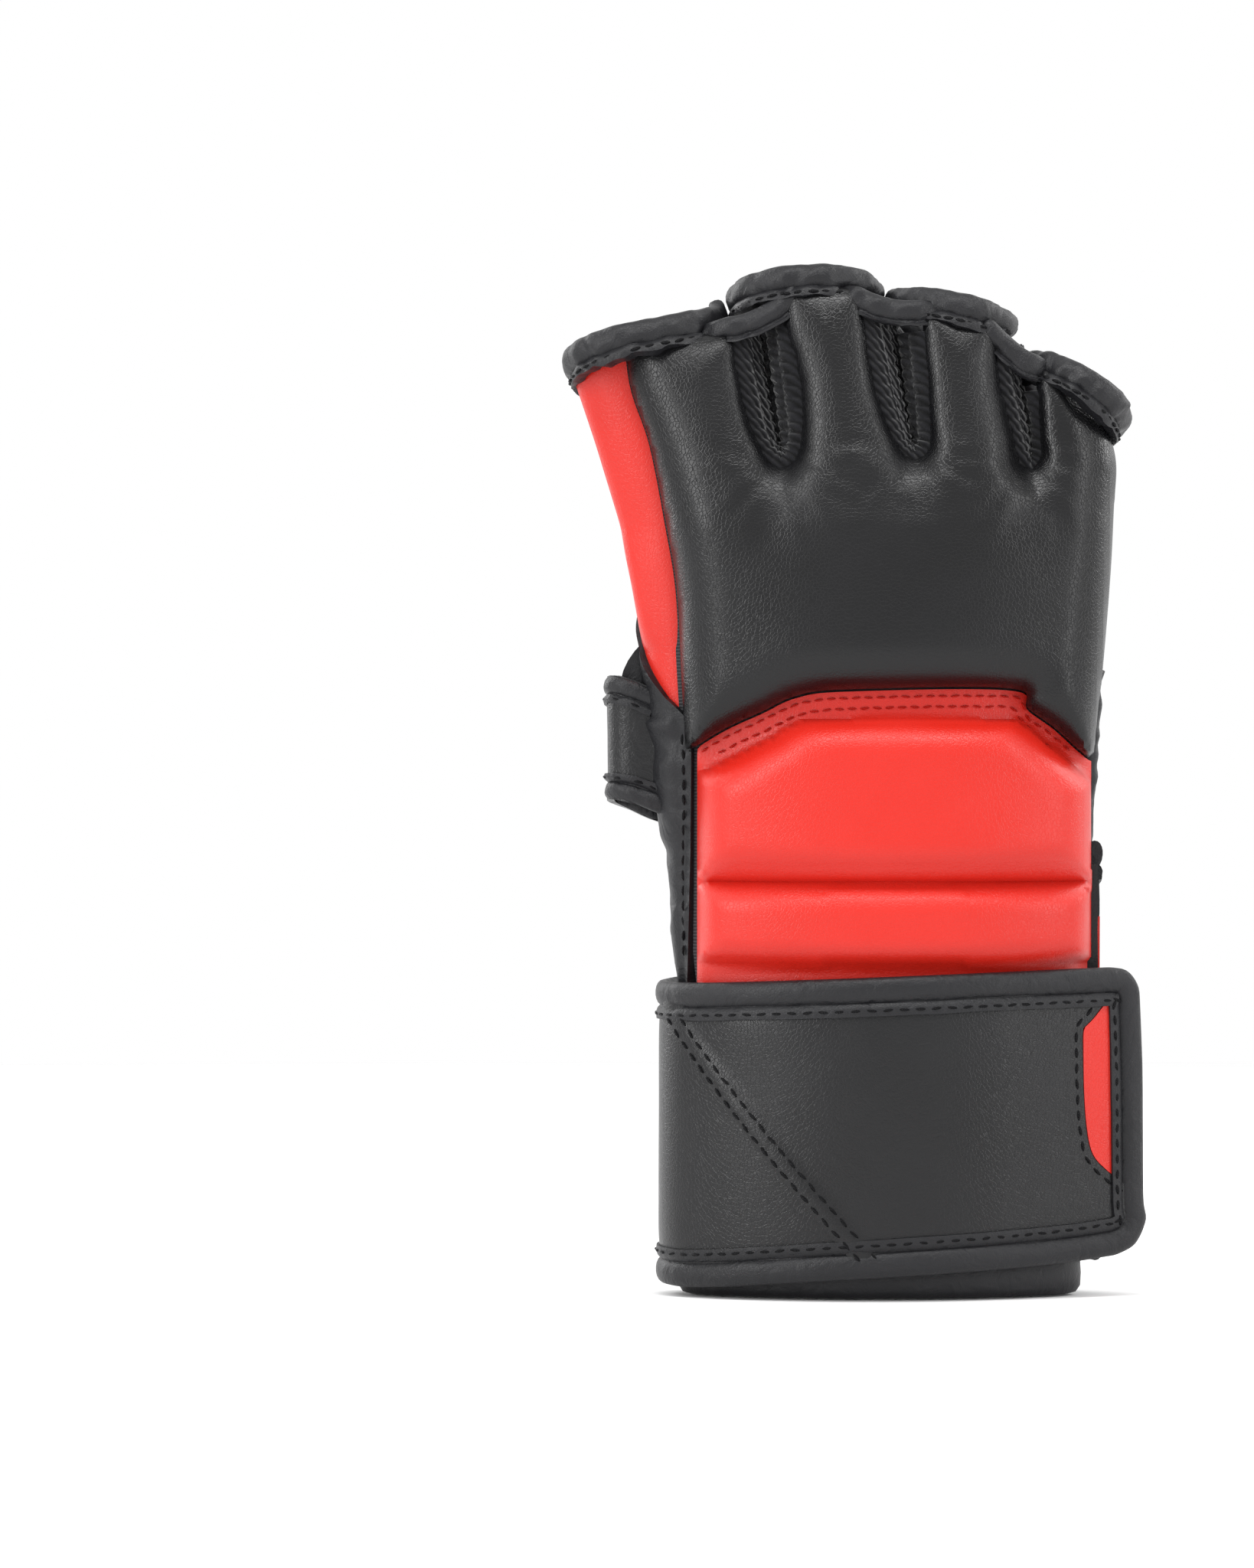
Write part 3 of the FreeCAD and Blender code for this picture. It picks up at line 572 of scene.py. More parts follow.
# %% [markdown]
# ## Materials
# The shell is polyurethane leather: a cloth backed with a soft plastic film, embossed with a
# fine grain of cells about 0.9 mm across, so it has a satin gloss that breaks up in the grain.
# The tape is the same film, thinner and duller. The lining is ribbed jersey, the channels
# between the fingers are coarse knit, and the thread is polyester with a dull shine.

# %% Node helper and colours
def linear(code):
    """sRGB hex to linear colour."""
    rgb = [int(code[i:i + 2], 16) / 255 for i in (1, 3, 5)]
    return tuple(c / 12.92 if c <= 0.04045 else ((c + 0.055) / 1.055) ** 2.4 for c in rgb) + (1,)


def new_material(name):
    material = bpy.data.materials.new(name)
    material.use_nodes = True
    tree = material.node_tree
    return material, tree, tree.nodes["Principled BSDF"]


def add(tree, kind, links=None, **settings):
    """One node: settings are its own or its sockets' values, links feed its inputs."""
    node = tree.nodes.new(kind)
    for key, value in settings.items():
        if hasattr(node, key):
            setattr(node, key, value)
        else:
            node.inputs[key.replace("_", " ")].default_value = value
    for socket, source in (links or {}).items():
        tree.links.new(source, node.inputs[socket])
    return node


def ramp(tree, source, stops):
    node = add(tree, "ShaderNodeValToRGB", {"Fac": source})
    while len(node.color_ramp.elements) < len(stops):
        node.color_ramp.elements.new(0.5)
    for element, (at, colour) in zip(node.color_ramp.elements, stops):
        element.position = at
        element.color = colour if len(colour) == 4 else (*colour, 1)
    return node


def leather(name, dark, mid, roughness, grain=0.9, crease=0.25, level=0.3):
    """Embossed PU leather: cells, fine creases, and a gloss that varies where it is handled."""
    material, tree, shader = new_material(name)
    at = add(tree, "ShaderNodeTexCoord").outputs["Object"]
    cells = add(tree, "ShaderNodeTexVoronoi", {"Vector": at}, Scale=1000 / grain,
                feature="DISTANCE_TO_EDGE")
    fine = add(tree, "ShaderNodeTexNoise", {"Vector": at}, Scale=1000 / 0.35, Detail=2.0)
    wide = add(tree, "ShaderNodeTexNoise", {"Vector": at}, Scale=1000 / 28.0, Detail=3.0)
    folds = add(tree, "ShaderNodeTexNoise", {"Vector": at}, Scale=1000 / 6.0, Detail=4.0, Distortion=1.5)
    edge = ramp(tree, cells.outputs["Distance"], [(0.0, (0, 0, 0)), (0.12, (1, 1, 1))])
    base = add(tree, "ShaderNodeMix", {"Factor": wide.outputs["Fac"]}, data_type="RGBA")
    base.inputs["A"].default_value, base.inputs["B"].default_value = linear(dark), linear(mid)
    tree.links.new(base.outputs["Result"], shader.inputs["Base Color"])
    gloss = add(tree, "ShaderNodeMapRange", {"Value": wide.outputs["Fac"]}, From_Min=0.3, From_Max=0.7,
                To_Min=roughness - 0.05, To_Max=roughness + 0.07)
    tree.links.new(gloss.outputs["Result"], shader.inputs["Roughness"])
    grain_bump = add(tree, "ShaderNodeBump", {"Height": edge.outputs["Color"]}, Strength=0.22,
                     Distance=0.0002)
    pore_bump = add(tree, "ShaderNodeBump",
                    {"Height": fine.outputs["Fac"], "Normal": grain_bump.outputs["Normal"]},
                    Strength=0.1, Distance=0.0001)
    fold_bump = add(tree, "ShaderNodeBump",
                    {"Height": folds.outputs["Fac"], "Normal": pore_bump.outputs["Normal"]},
                    Strength=crease, Distance=0.0009)
    tree.links.new(fold_bump.outputs["Normal"], shader.inputs["Normal"])
    shader.inputs["IOR"].default_value = 1.5
    shader.inputs["Specular IOR Level"].default_value = level
    return material


def cloth(name, dark, mid, roughness, rib=0.7, lumps=1.0, axis="Z", sheen=0.15, depth=0.0003, cross=0.0):
    """Fabric: threads side by side along one axis, with a soft fuzz, and colour painted darker in the
    valleys between threads and lighter on their tops: painted shade and painted highlight.
    """
    material, tree, shader = new_material(name)
    at = add(tree, "ShaderNodeTexCoord").outputs["Object"]
    ribs = add(tree, "ShaderNodeTexWave", {"Vector": at}, Scale=314 / rib,
               bands_direction=axis, Distortion=0.4, Detail=1.0)
    across = add(tree, "ShaderNodeTexWave", {"Vector": at}, Scale=314 / rib,
                 bands_direction="X" if axis != "X" else "Z", Distortion=0.8)
    fuzz = add(tree, "ShaderNodeTexNoise", {"Vector": at}, Scale=1000 / lumps, Detail=5.0)
    weave = add(tree, "ShaderNodeMix", {"A": ribs.outputs["Fac"], "B": across.outputs["Fac"]},
                data_type="FLOAT")
    weave.inputs["Factor"].default_value = cross
    # The colour follows the weave's height: painted shade in the valleys and a painted highlight on the
    # thread tops, for every fabric made here.
    rib_colour_with_painted_shade = add(tree, "ShaderNodeMix", {"Factor": weave.outputs["Result"]}, data_type="RGBA")
    rib_colour_with_painted_shade.inputs["A"].default_value, rib_colour_with_painted_shade.inputs["B"].default_value = linear(dark), linear(mid)
    tree.links.new(rib_colour_with_painted_shade.outputs["Result"], shader.inputs["Base Color"])
    bump = add(tree, "ShaderNodeBump", {"Height": weave.outputs["Result"]}, Strength=0.6, Distance=depth)
    bump2 = add(tree, "ShaderNodeBump", {"Height": fuzz.outputs["Fac"], "Normal": bump.outputs["Normal"]},
                Strength=0.35, Distance=0.0004)
    tree.links.new(bump2.outputs["Normal"], shader.inputs["Normal"])
    shader.inputs["Roughness"].default_value = roughness
    shader.inputs["Specular IOR Level"].default_value = 0.1
    shader.inputs["Sheen Weight"].default_value = sheen
    return material


# %% The finishes
# Satin black film with a fine grain: broad soft highlights along the lobes.
BLACK_LEATHER = leather("black_pu_leather", "#09090a", "#101012", 0.28, level=0.32, crease=0.04)
# The strap's film is duller and a little creased, because it is bent each time it is worn.
BLACK_PANEL = leather("black_pu_leather_strap", "#0d0d0e", "#151517", 0.32, level=0.33, crease=0.1)
# Softer leather for the palm: its creases break the shine into patches.
PALM_LEATHER = leather("black_palm_leather", "#0e0e0f", "#161618", 0.32, crease=0.4, level=0.34)
# Red film over firm foam: nearly smooth, which keeps the moulded steps crisp.
RED_LEATHER = leather("red_pu_leather", "#b81d11", "#c2241a", 0.34, crease=0.03, level=0.34)
# Thin binding film: small tight creases, and duller than the panels.
TAPE_LEATHER = leather("black_binding_tape", "#131315", "#1c1c1f", 0.42, grain=0.7, crease=0.55, level=0.3)
# Fine dark grey ribs across the hand, matt.
JERSEY = cloth("ribbed_jersey_lining", "#222224", "#404042", 0.7, rib=0.8, sheen=0.1)
# Deep black cords, painted lighter on top of their slanting stitches as a painted highlight and darker
# between them as painted shade.
KNIT = cloth("coarse_knit", "#040405", "#17171a", 0.85, rib=1.2, lumps=0.8, axis="DIAGONAL",
             sheen=0.2, depth=0.0006)
# A woven band with threads both ways, slightly shiny.
WEBBING = cloth("nylon_webbing", "#0b0b0d", "#19191c", 0.6, rib=1.2, cross=0.5, sheen=0.05)
# Brushed loops: matt, with a soft light edge.
PILE = cloth("brushed_loop_pile", "#08080a", "#19191c", 0.95, rib=0.5, lumps=0.5, sheen=0.3)
# Stiff hooks in rows, with small hard glints.
HOOKS = cloth("nylon_hooks", "#070708", "#1e1e21", 0.45, rib=1.3, lumps=0.6, cross=0.5,
              depth=0.0006, sheen=0.0)
# Twisted thread: a faint glint on each stitch.
THREAD = cloth("black_polyester_thread", "#09090a", "#18181a", 0.45, rib=0.25, axis="DIAGONAL", sheen=0.0)
# The same thread in a darker red than the leather, so that the rows show.
RED_THREAD = cloth("red_polyester_thread", "#96120b", "#b01c13", 0.5, rib=0.25, axis="DIAGONAL", sheen=0.0)
print(len(bpy.data.materials), "materials")

# %% [markdown]
# ## The padded back
# Both pads are foam wrapped in leather, with the leather sewn down flat round the foam. So a
# pad is a flat outline whose top swells from the seam like the side of a cushion. Real covers
# are stretched over shaped foam, so the swell is worked out from the distance to the seam
# instead of from a cloth simulation, which would round off the crisp creases.

# %% Outlines of the two pads
SEAM = curve([(-40.2, 131.0), (-31, 136.6), (-22.3, 140.6), (-14, 144.4), (-2, 145.9), (37.6, 146.2),
              (41.5, 141.6), (48, 137), (53.5, 132.2), (57.6, 129.0)])
THUMB_SIDE = curve([(-55.2, 229.6), (-53.4, 218), (-49, 205), (-45.2, 186), (-42.6, 170), (-41.6, 150),
                    (-40.6, 133)])
LOBES = [
    curve([(58.3, 131), (59.0, 138), (60.6, 152), (62.4, 174), (63.2, 190), (63.6, 201), (60.5, 210.5),
           (55.5, 217), (48.6, 222.2), (44.9, 223.2), (43.9, 219)]),
    curve([(44.2, 214), (44.8, 207), (44.3, 202.6), (42.3, 200.2), (40.0, 202.2), (37.6, 210),
           (35.2, 221), (34.4, 231.5)]),
    curve([(33.0, 233.8), (25, 236.0), (18.3, 237.2), (16.4, 235)]),
    curve([(16.6, 225), (17.6, 214), (17.8, 206.5), (15.3, 202.6), (11.8, 203.6), (8.2, 209),
           (5.2, 219), (3.0, 233), (1.6, 240)]),
    curve([(-0.5, 242.2), (-9, 243.2), (-15.4, 242.6), (-17.3, 240.5)]),
    curve([(-16.9, 233), (-13.8, 222), (-12.6, 210), (-13.9, 203), (-17.6, 200.2), (-21.4, 202.6),
           (-25.2, 210), (-27.6, 221), (-28.6, 229)]),
    curve([(-30.6, 231.6), (-42, 231.2), (-52, 230.8), (-54.6, 230.2)]),
]
KNUCKLE_LINE = even(np.vstack(LOBES + [THUMB_SIDE, SEAM[:-1]]), 1.1, closed=True)
VALLEY_FEET = [(-18.0, 201.0, -0.12), (14.5, 203.5, -0.1), (42.0, 201.0, 0.1)]


def pad_face(x, z, off):
    p = back_face(x, z, off)
    p[..., 1] = np.minimum(p[..., 1], -3.6)
    return p


def taper(z):
    return 9 * np.clip((z - 185) / 67, 0, 1)


# %% The black knuckle pad
def knuckle_top(x, z):
    d = gap_to(x, z, KNUCKLE_LINE)
    full = 13.0 - taper(z)
    edge = 4.4 - 2.2 * np.clip((z - 206) / 18, 0, 1)
    h = edge + (full - edge) * crown(d, 11.5)
    for vx, vz, lean in VALLEY_FEET:
        below = np.clip((vz - z) / 34, 0, 1)
        width = 4.5 + 6 * below
        across = (x - vx - lean * (vz - z)) / width
        h -= 3.0 * (1 - below) ** 1.6 * np.exp(-across**2) * (z < vz + 6) * np.clip((vz + 6 - z) / 6, 0, 1)
        r = np.hypot(x - vx, z - vz)
        angle = np.arctan2(x - vx, vz - z)
        ray = soft_random(angle * 9, r / 14, 1.0, int(vz)) * np.exp(-((r - 9) / 9) ** 2) * (z < vz + 3)
        fine = soft_random(angle * 17, r / 9, 1.0, int(vz) + 7) * np.exp(-((r - 8) / 7) ** 2) * (z < vz + 2)
        h += 0.55 * ray + 0.25 * fine
    h += 0.35 * soft_random(x, z, 26, 3) * crown(d, 20)
    return h


RING_INSETS = (0.35, 0.6, 0.9)


def ringed(outline):
    """Start an outline with a few rings along its edge, so that the swell has points there."""
    bm = bmesh.new()
    face = bm.faces.new([bm.verts.new((a, b, 0)) for a, b in outline])
    for width in RING_INSETS:
        bmesh.ops.inset_region(bm, faces=[face], thickness=width, use_even_offset=True)
    return bm, face


def pad_piece(name, surface, outline, low, high, step=1.6):
    """A pad: rings round its edge, a grid inside, two levels."""
    bm, middle = ringed(outline)
    inner = [middle]
    for spot, normal in rulings(outline, step):
        edges = list(dict.fromkeys(e for f in inner for e in f.edges))
        verts = list(dict.fromkeys(v for f in inner for v in f.verts))
        out = bmesh.ops.bisect_plane(bm, geom=verts + edges + inner, plane_co=spot,
                                     plane_no=normal, dist=1e-5)
        inner = [g for g in out["geom"] if isinstance(g, bmesh.types.BMFace)]
    return lay(name, bm, surface, low, high)





knuckle = pad_piece("knuckle_pad", pad_face, KNUCKLE_LINE, 1.95, knuckle_top)
keep(knuckle, "hand", BLACK_LEATHER, ["knuckle_cover", "knuckle_foam"])
print("knuckle pad", len(knuckle.data.polygons), "faces")

# %% The red pad
RED_TOP = [(x, z - 0.5) for x, z in SEAM if -37.6 < x < 57.4]
RED_LINE = even(np.array([(-37.7, 8.4), (57.7, 8.4), (57.7, 129.2)] + RED_TOP[::-1]
                         + [(-37.7, 131.6)]), 1.1, closed=True)
UPPER_LOBE = np.array([(-37.6, 101), (57.6, 101)] + curve([(57.6, 124), (52, 128.5), (44, 135),
                      (39.5, 138.2), (33, 139.4), (-8, 139.2), (-20, 134.5), (-29, 129.6),
                      (-37.6, 125.5)]).tolist())
LOWER_LOBE = np.array([(-37.6, 80.5), (57.6, 80.5), (57.6, 99.2), (-37.6, 99.2)])


def inside_of(x, z, line):
    """True where a flat point is inside a closed line."""
    inside = np.zeros(len(x), bool)
    nxt = np.roll(line, -1, 0)
    for (x0, z0), (x1, z1) in zip(line, nxt):
        if z0 != z1:
            inside ^= ((z0 > z) != (z1 > z)) & (x < (x1 - x0) * (z - z0) / (z1 - z0) + x0)
    return inside


def red_top(x, z):
    sag = 0.7 * np.sin((x + 38) / 96 * math.pi)
    zc = z + sag
    up = inside_of(x, zc, UPPER_LOBE) * crown(gap_to(x, zc, UPPER_LOBE), 8.5)
    low = inside_of(x, zc, LOWER_LOBE) * crown(gap_to(x, zc, LOWER_LOBE), 6.0)
    side = crown(np.minimum(x + 37.7, 57.7 - x), 5)
    floor = np.where(zc > 100, 3.3, 4.5) + 0 * x
    floor = np.where((zc > 97.5) & (zc < 102.5), 6.4, floor)
    floor = np.where(zc < 81, 6.1, floor)
    h = floor + np.maximum(up * (13.0 - floor), low * (11.6 - floor))
    h = np.where(zc < 80.5, 4.6 + 1.4 * side, h)
    h += 0.25 * soft_random(x, z, 17, 8) * np.maximum(up, low)
    return h


red = pad_piece("backhand_pad", pad_face, RED_LINE, 1.95, red_top, step=1.5)
keep(red, "hand", RED_LEATHER,
     ["backhand_cover", "metacarpal_foam", "wrist_foam", "cuff_foam"])
print("red pad", len(red.data.polygons), "faces")

# %% [markdown]
# ## Lining, side strips and palm
# The lining is a ribbed jersey sheet behind both pads, and shows through the open palm. Red
# leather strips close the two sides above the thumb, and black leather covers the finger
# bases. All are flat cuts laid on the hand's oval, and seam allowances are hidden under tape.

# %% Where a line over the back meets the rounded side
def side_s(x, z):
    """Distance round the side, negative on the back, at which the back's surface reaches x."""
    centre, half, back, palm, end = oval_at(z)
    c, r, _, angle = arcs(half, back, palm, end)[:4]
    dx = np.abs(x - centre)
    turn = (np.pi / 2 - angle) * end
    near = np.arccos(np.clip((dx - c) / (end + 1), -1, 1)) * end
    far = turn + (angle - np.arcsin(np.clip(dx / (r + 1), -1, 1))) * r
    return -np.where(dx > (r + 1) * np.sin(angle), near, far)


def on_thumb_side(from_x, to_s):
    """A surface for the thumb side: u = 0 at the pad's edge and u = 30 at to_s."""
    def face(u, z, off):
        start = side_s(np.interp(z, from_x[:, 1], from_x[:, 0]), z)
        return thumb_edge_face(start + (to_s(z) - start) * u / 30, z, off)
    return face


THUMB_BACK = THUMB_SIDE[::-1][THUMB_SIDE[::-1][:, 1].argsort()]

# %% The red strip on the thumb side
thumb_red = on_thumb_side(THUMB_BACK, lambda z: np.interp(z, [130, 165, 185, 230], [6.2, 7.5, 10.5, 12.0]))


def thumb_red_top(u, z):
    fold = np.exp(-((u - 13 - 0.03 * (z - 180)) / 3.6) ** 2)
    edge = np.minimum(u, 30 - u) * 0.7
    swell = crown(np.clip(z - 156, 0, 99), 30)
    buckle = 1.5 * fold + 0.4 * soft_random(u, z, 13, 5)
    return 1.5 + 0.5 * crown(edge, 4) + swell * (0.4 + buckle * crown(edge, 6))


line = even([(0.0, 136.5), (8.0, 141), (19.0, 151.5), (30.0, 164.0), (30.0, 212.0), (0.0, 229.0)],
            1.5, closed=True)
piece = cut_piece("thumb_side_strip", thumb_red, line, 0.3, thumb_red_top, 1.6)
keep(piece, "hand", RED_LEATHER, ["thumb_side_gusset"])


# %% The red strip on the little finger's side
def little_red(u, z, off):
    start = side_s(np.full_like(u, 62.0), z)
    end = np.interp(z, [130, 160, 200, 220], [5.5, 9.5, 11.0, 9.5])
    return little_edge_face(np.minimum(start, -1.8) + (end - np.minimum(start, -1.8)) * u / 20, z, off)


def little_red_top(u, z):
    edge = np.minimum(u, 20 - u) * 0.6
    return 2.0 + 0.7 * crown(edge, 5) + 0.3 * soft_random(u, z, 11, 6)


line = even([(0.0, 144.0), (20.0, 144.0), (20.0, 197.0), (0.0, 203.0)], 1.5, closed=True)
piece = cut_piece("little_side_strip", little_red, line, 0.3, little_red_top, 1.6)
keep(piece, "hand", RED_LEATHER, ["little_side_gusset"])

# %% The jersey lining behind the pads
LINING_TOP = curve([(-57.0, 224.5), (-50, 229.0), (-31.5, 231.5)])
LINING_LINE = np.vstack([
    [(-57.6, 9.0), (57.6, 9.0)],
    curve([(57.6, 199), (57, 206), (52.5, 216), (45.6, 221)]),
    curve([(45.2, 206), (42.6, 200.6), (39.6, 204), (35.8, 222), (34.8, 233)]),
    [(18.2, 236.5)],
    curve([(18.4, 214), (16.8, 205), (13, 202.6), (8.6, 207), (4.8, 221), (2.4, 239)]),
    [(-16.2, 240.5)],
    curve([(-13.6, 222), (-12.6, 210), (-14.0, 203.6), (-18.0, 200.6), (-22.4, 203.6), (-26.8, 214),
           (-29.2, 229)]),
    LINING_TOP[::-1],
])


def lining_face(x, z, off):
    """Back panel's flat cut: x spread a little so that it reaches both side seams."""
    centre, half = oval_at(z)[:2]
    reach = np.clip(np.abs(x) / 57.6, 0, 1) ** 3
    left = centre - half - 0.3
    right = centre + half + 0.3
    target = np.where(x < 0, left, right)
    spread = x + (target - np.where(x < 0, -57.6, 57.6)) * reach
    return back_face(spread, z, off)


piece = cut_piece("back_lining_sheet", lining_face, even(LINING_LINE, 1.5, closed=True),
                  lambda x, z: 0.02 + 0.25 * soft_random(x, z, 30, 2) - 0.2, 1.75, 2.5)
keep(piece, "hand", JERSEY, ["back_lining"])

# %% The palm leather over the finger bases
ARCH = curve([(-58.5, 144.0), (-49.5, 147.0), (-41, 151.5), (-33.5, 159.5), (-26, 168.5), (-16.5, 175.5),
              (-3, 179.2), (18, 180.2), (34, 178.4), (44, 173.2), (50, 164.5), (52.6, 153),
              (53.6, 143)], 1.2)
PALM_LINE = even(np.vstack([
    ARCH[(ARCH[:, 0] > -47.6) & (ARCH[:, 1] > 150)],
    curve([(54.2, 150), (58.6, 175), (60.0, 196)]),
    curve([(58.5, 200), (52.5, 207.4), (47.2, 210.4)]),
    curve([(46.9, 204), (43.6, 198.2), (39.2, 199.4), (36.6, 208), (35.2, 220)]),
    curve([(33, 226.6), (19.2, 228.6)]),
    curve([(19.6, 210), (17.2, 201.8), (12.0, 201.4), (8.6, 206), (4.6, 222), (2.2, 233)]),
    curve([(0.5, 235.0), (-15.4, 235.2)]),
    curve([(-14.6, 218), (-14.8, 205), (-18.6, 199.4), (-24.2, 201.4), (-27.2, 209), (-28.6, 221)]),
    curve([(-30.5, 224.4), (-45, 220.4), (-58.4, 215.6)]),
    curve([(-57.6, 212), (-54.4, 196), (-49.6, 176), (-46.2, 157)]),
]), 1.3, closed=True)


def palm_top(x, z):
    tight = gap_to(x, z, PALM_LINE)
    h = 1.9 + 0.75 * soft_random(x, z, 17, 4) * crown(tight, 12)
    for vx, vz in ((-20.0, 199.0), (14.0, 201.0), (42.0, 198.0)):
        r = np.hypot(x - vx, z - vz)
        angle = np.arctan2(x - vx, vz - z)
        h += 0.6 * soft_random(angle * 7, r / 16, 1.0, int(vz) + 3) * np.exp(-((r - 9) / 10) ** 2)
    h += 0.28 * soft_random(x * 0.4 + z, z * 0.5 - x, 5, 11) * crown(tight, 10)
    return h


piece = cut_piece("palm_leather", palm_face, PALM_LINE, lambda x, z: palm_top(x, z) - 1.5, palm_top, 1.5)
keep(piece, "hand", PALM_LEATHER, ["palm_panel"])
print("palm leather", len(piece.data.polygons), "faces")

# %% [markdown]
# ## Knit between the fingers
# A channel of coarse knit joins each two fingers, so that they can spread. It is a strip that
# goes down one side of the gap and up the other. Its cords are worked in as ribs across a
# fine grid, each rib broken into stitches that slant like a braid.

# %% The three knit channels
CHANNELS = {
    "index_middle": [(-29.6, 232), (-28.2, 222), (-25.8, 210), (-21.8, 202.2), (-17.4, 199.4),
                     (-13.2, 202.2), (-11.6, 210), (-13.2, 223), (-15.4, 241)],
    "middle_ring": [(1.0, 240), (4.0, 222), (7.2, 209.5), (10.6, 202.4), (15.0, 200.8), (18.8, 205),
                    (18.9, 214), (17.4, 232)],
    "ring_little": [(33.2, 229), (35.2, 218), (37.8, 206), (40.4, 200), (43.6, 199.2), (45.8, 203.4),
                    (46.0, 210), (44.6, 218)],
}
KNIT_DEEP = 26
channel_depth = {"index_middle": 5.2, "middle_ring": 5.6, "ring_little": 5.4}


def channel_face(name):
    line = curve(CHANNELS[name], 0.5)
    length = 0.5 * (len(line) - 1)
    t = np.linspace(0, length, len(line))
    inward = inward_of(line, 1)
    foot = int(np.argmin(line[:, 1]))
    foot_z = line[foot, 1]
    axis_z = np.linspace(foot_z + 1, min(line[0, 1], line[-1, 1]), 12)
    left, right = line[foot::-1], line[foot:]
    axis_x = (np.interp(axis_z, left[:, 1], left[:, 0]) + np.interp(axis_z, right[:, 1], right[:, 0])) / 2

    def face(u, v, off):
        x, z = (np.interp(u, t, line[:, k]) for k in (0, 1))
        nx, nz = (np.interp(u, t, inward[:, k]) for k in (0, 1))
        back = back_face(x, z, channel_depth[name] - 0.35 * taper(z))[..., 1]
        palm = palm_face(x, z, 1.6)[..., 1]
        y = back + (palm - back) * v / KNIT_DEEP
        rolled = 1.2 * np.clip(1 - v / 2.2, 0, 1) ** 2
        shut = 0.82 * np.clip(np.sin(math.pi * np.clip(v, 0, KNIT_DEEP) / KNIT_DEEP), 0, 1) ** 0.6
        mid_z = np.maximum(z, foot_z + 5.0)
        mid_x = np.interp(mid_z, axis_z, axis_x)
        x, z = x + (mid_x - x) * shut, z + (mid_z - z) * shut
        return np.stack([x + nx * (off - rolled), y, z + nz * (off - rolled)], -1)
    return face, length


for name in CHANNELS:
    face, length = channel_face(name)

    def knit_top(u, v):
        rib = np.abs(np.sin(math.pi * (v + 1.3) / 3.7))
        side = np.sign(np.sin(2 * math.pi * (v + 1.3) / 7.4) + 1e-6)
        loop = np.abs(np.sin(math.pi * (u + side * 2.0 * rib) / 2.9))
        return 1.0 + 1.9 * rib**0.6 * (0.45 + 0.55 * loop) + 0.15 * soft_random(u, v, 1.5, 4)

    flat_cut = [(0, 0), (length, 0), (length, KNIT_DEEP), (0, KNIT_DEEP)]
    piece = cut_piece("knit_" + name, face, flat_cut, 0.15, knit_top, 0.55)
    keep(piece, "hand", KNIT, ["fourchette_" + name], smooth=75)
print("knit channels", len(piece.data.polygons), "faces in the last one")

# %% [markdown]
# ## Bound edges
# Every raw edge is bound: a strip of thin leather is folded over it and sewn through both
# layers. The fold makes a soft roll, the sewn part a flat lip, and round a tight curve the
# strip gathers into small pleats. All the bindings are the same section swept along an edge.

# %% Finger bindings
FINGER_SECTION = tape_section(roll=6.2, lip=2.6, puff=2.2, sheet=1.0, thin=0.7)
DROOP = {"index": (1.5, 5.5), "middle": (1.0, 0.0), "ring": (3.6, 0.0), "little": (2.4, 0.0)}
black_seams = []


def drooped(name):
    """A finger opening whose back edge is pulled level by the pad that it is sewn to."""
    ring = finger_face(name)
    near, far = DROOP[name]

    def face(a, b, off):
        p = ring(a, b, off)
        back = np.clip(-np.sin(a / 20), 0, 1) ** 0.7
        p[..., 2] -= back * (near + far * (0.5 + 0.5 * np.cos(a / 20)))
        return p
    return face


for k, name in enumerate(FINGERS):
    turns = np.linspace(0, 2 * math.pi * 20, 121)
    ring = [(a, 4.4) for a in turns[:-1]]
    piece = tape(name + "_finger_binding", drooped(name), ring, FINGER_SECTION, -0.4, turn=-1,
                 closed=True, pleat=1.5, pitch=5.5, seed=k + 2)
    keep(piece, "hand", TAPE_LEATHER, [name + "_finger_tape"])
    black_seams.append((drooped(name), [(a, -3.2) for a in turns], 1.45))
print("finger bindings", len(piece.data.polygons), "faces each")


# %% Short bindings over the tops of the knit
BRIDGE_SECTION = tape_section(roll=5.0, lip=1.2, puff=1.9, sheet=0.8, thin=0.5)
BRIDGES = {"index_middle": [(-36, 236.6), (-32, 235.6), (-27, 236.2), (-21, 239.0), (-15, 243.4),
                            (-10, 246.0)],
           "middle_ring": [(-4, 245.4), (0, 243.4), (5, 241.0), (10, 239.6), (16.5, 239.6), (22, 241.2)],
           "ring_little": [(28, 238.6), (32.5, 235.6), (37, 231.4), (42, 227.4), (46.5, 226.2), (50, 227.4)]}
for k, name in enumerate(BRIDGES):
    left, right = BRIDGES[name][0][0], BRIDGES[name][-1][0]

    def tucked(x, z, off):
        ends = np.clip(np.minimum(x - left, right - x) / 6, 0, 1)
        return back_face(x, z - 2.6 * (1 - ends) ** 1.5, off - 3.6 * (1 - ends) ** 1.5)

    piece = tape("knit_" + name + "_binding", tucked, curve(BRIDGES[name]), BRIDGE_SECTION, 3.1, turn=-1,
                 pleat=1.5, pitch=4.0, seed=k + 31, step=0.9)
    keep(piece, "hand", TAPE_LEATHER)

# %% Thumb-side binding of the cuff
def thumb_edge(u, z, off):
    """u = 0 at the red pad's edge and u = 22 on the palm side."""
    start = side_s(-38.0 - 2.5 * np.clip((z - 131) / 30, 0, 1), z)
    return thumb_edge_face(start + (6.0 - start) * u / 22, z, off)


def gathered(u, z, seed, size):
    """Pleats that run across the tape, each a little skewed."""
    return (soft_random(z + 0.35 * u, u * 0.25, size, seed)
            + 0.5 * soft_random(z - 0.3 * u, u * 0.3, size / 2, seed + 1))


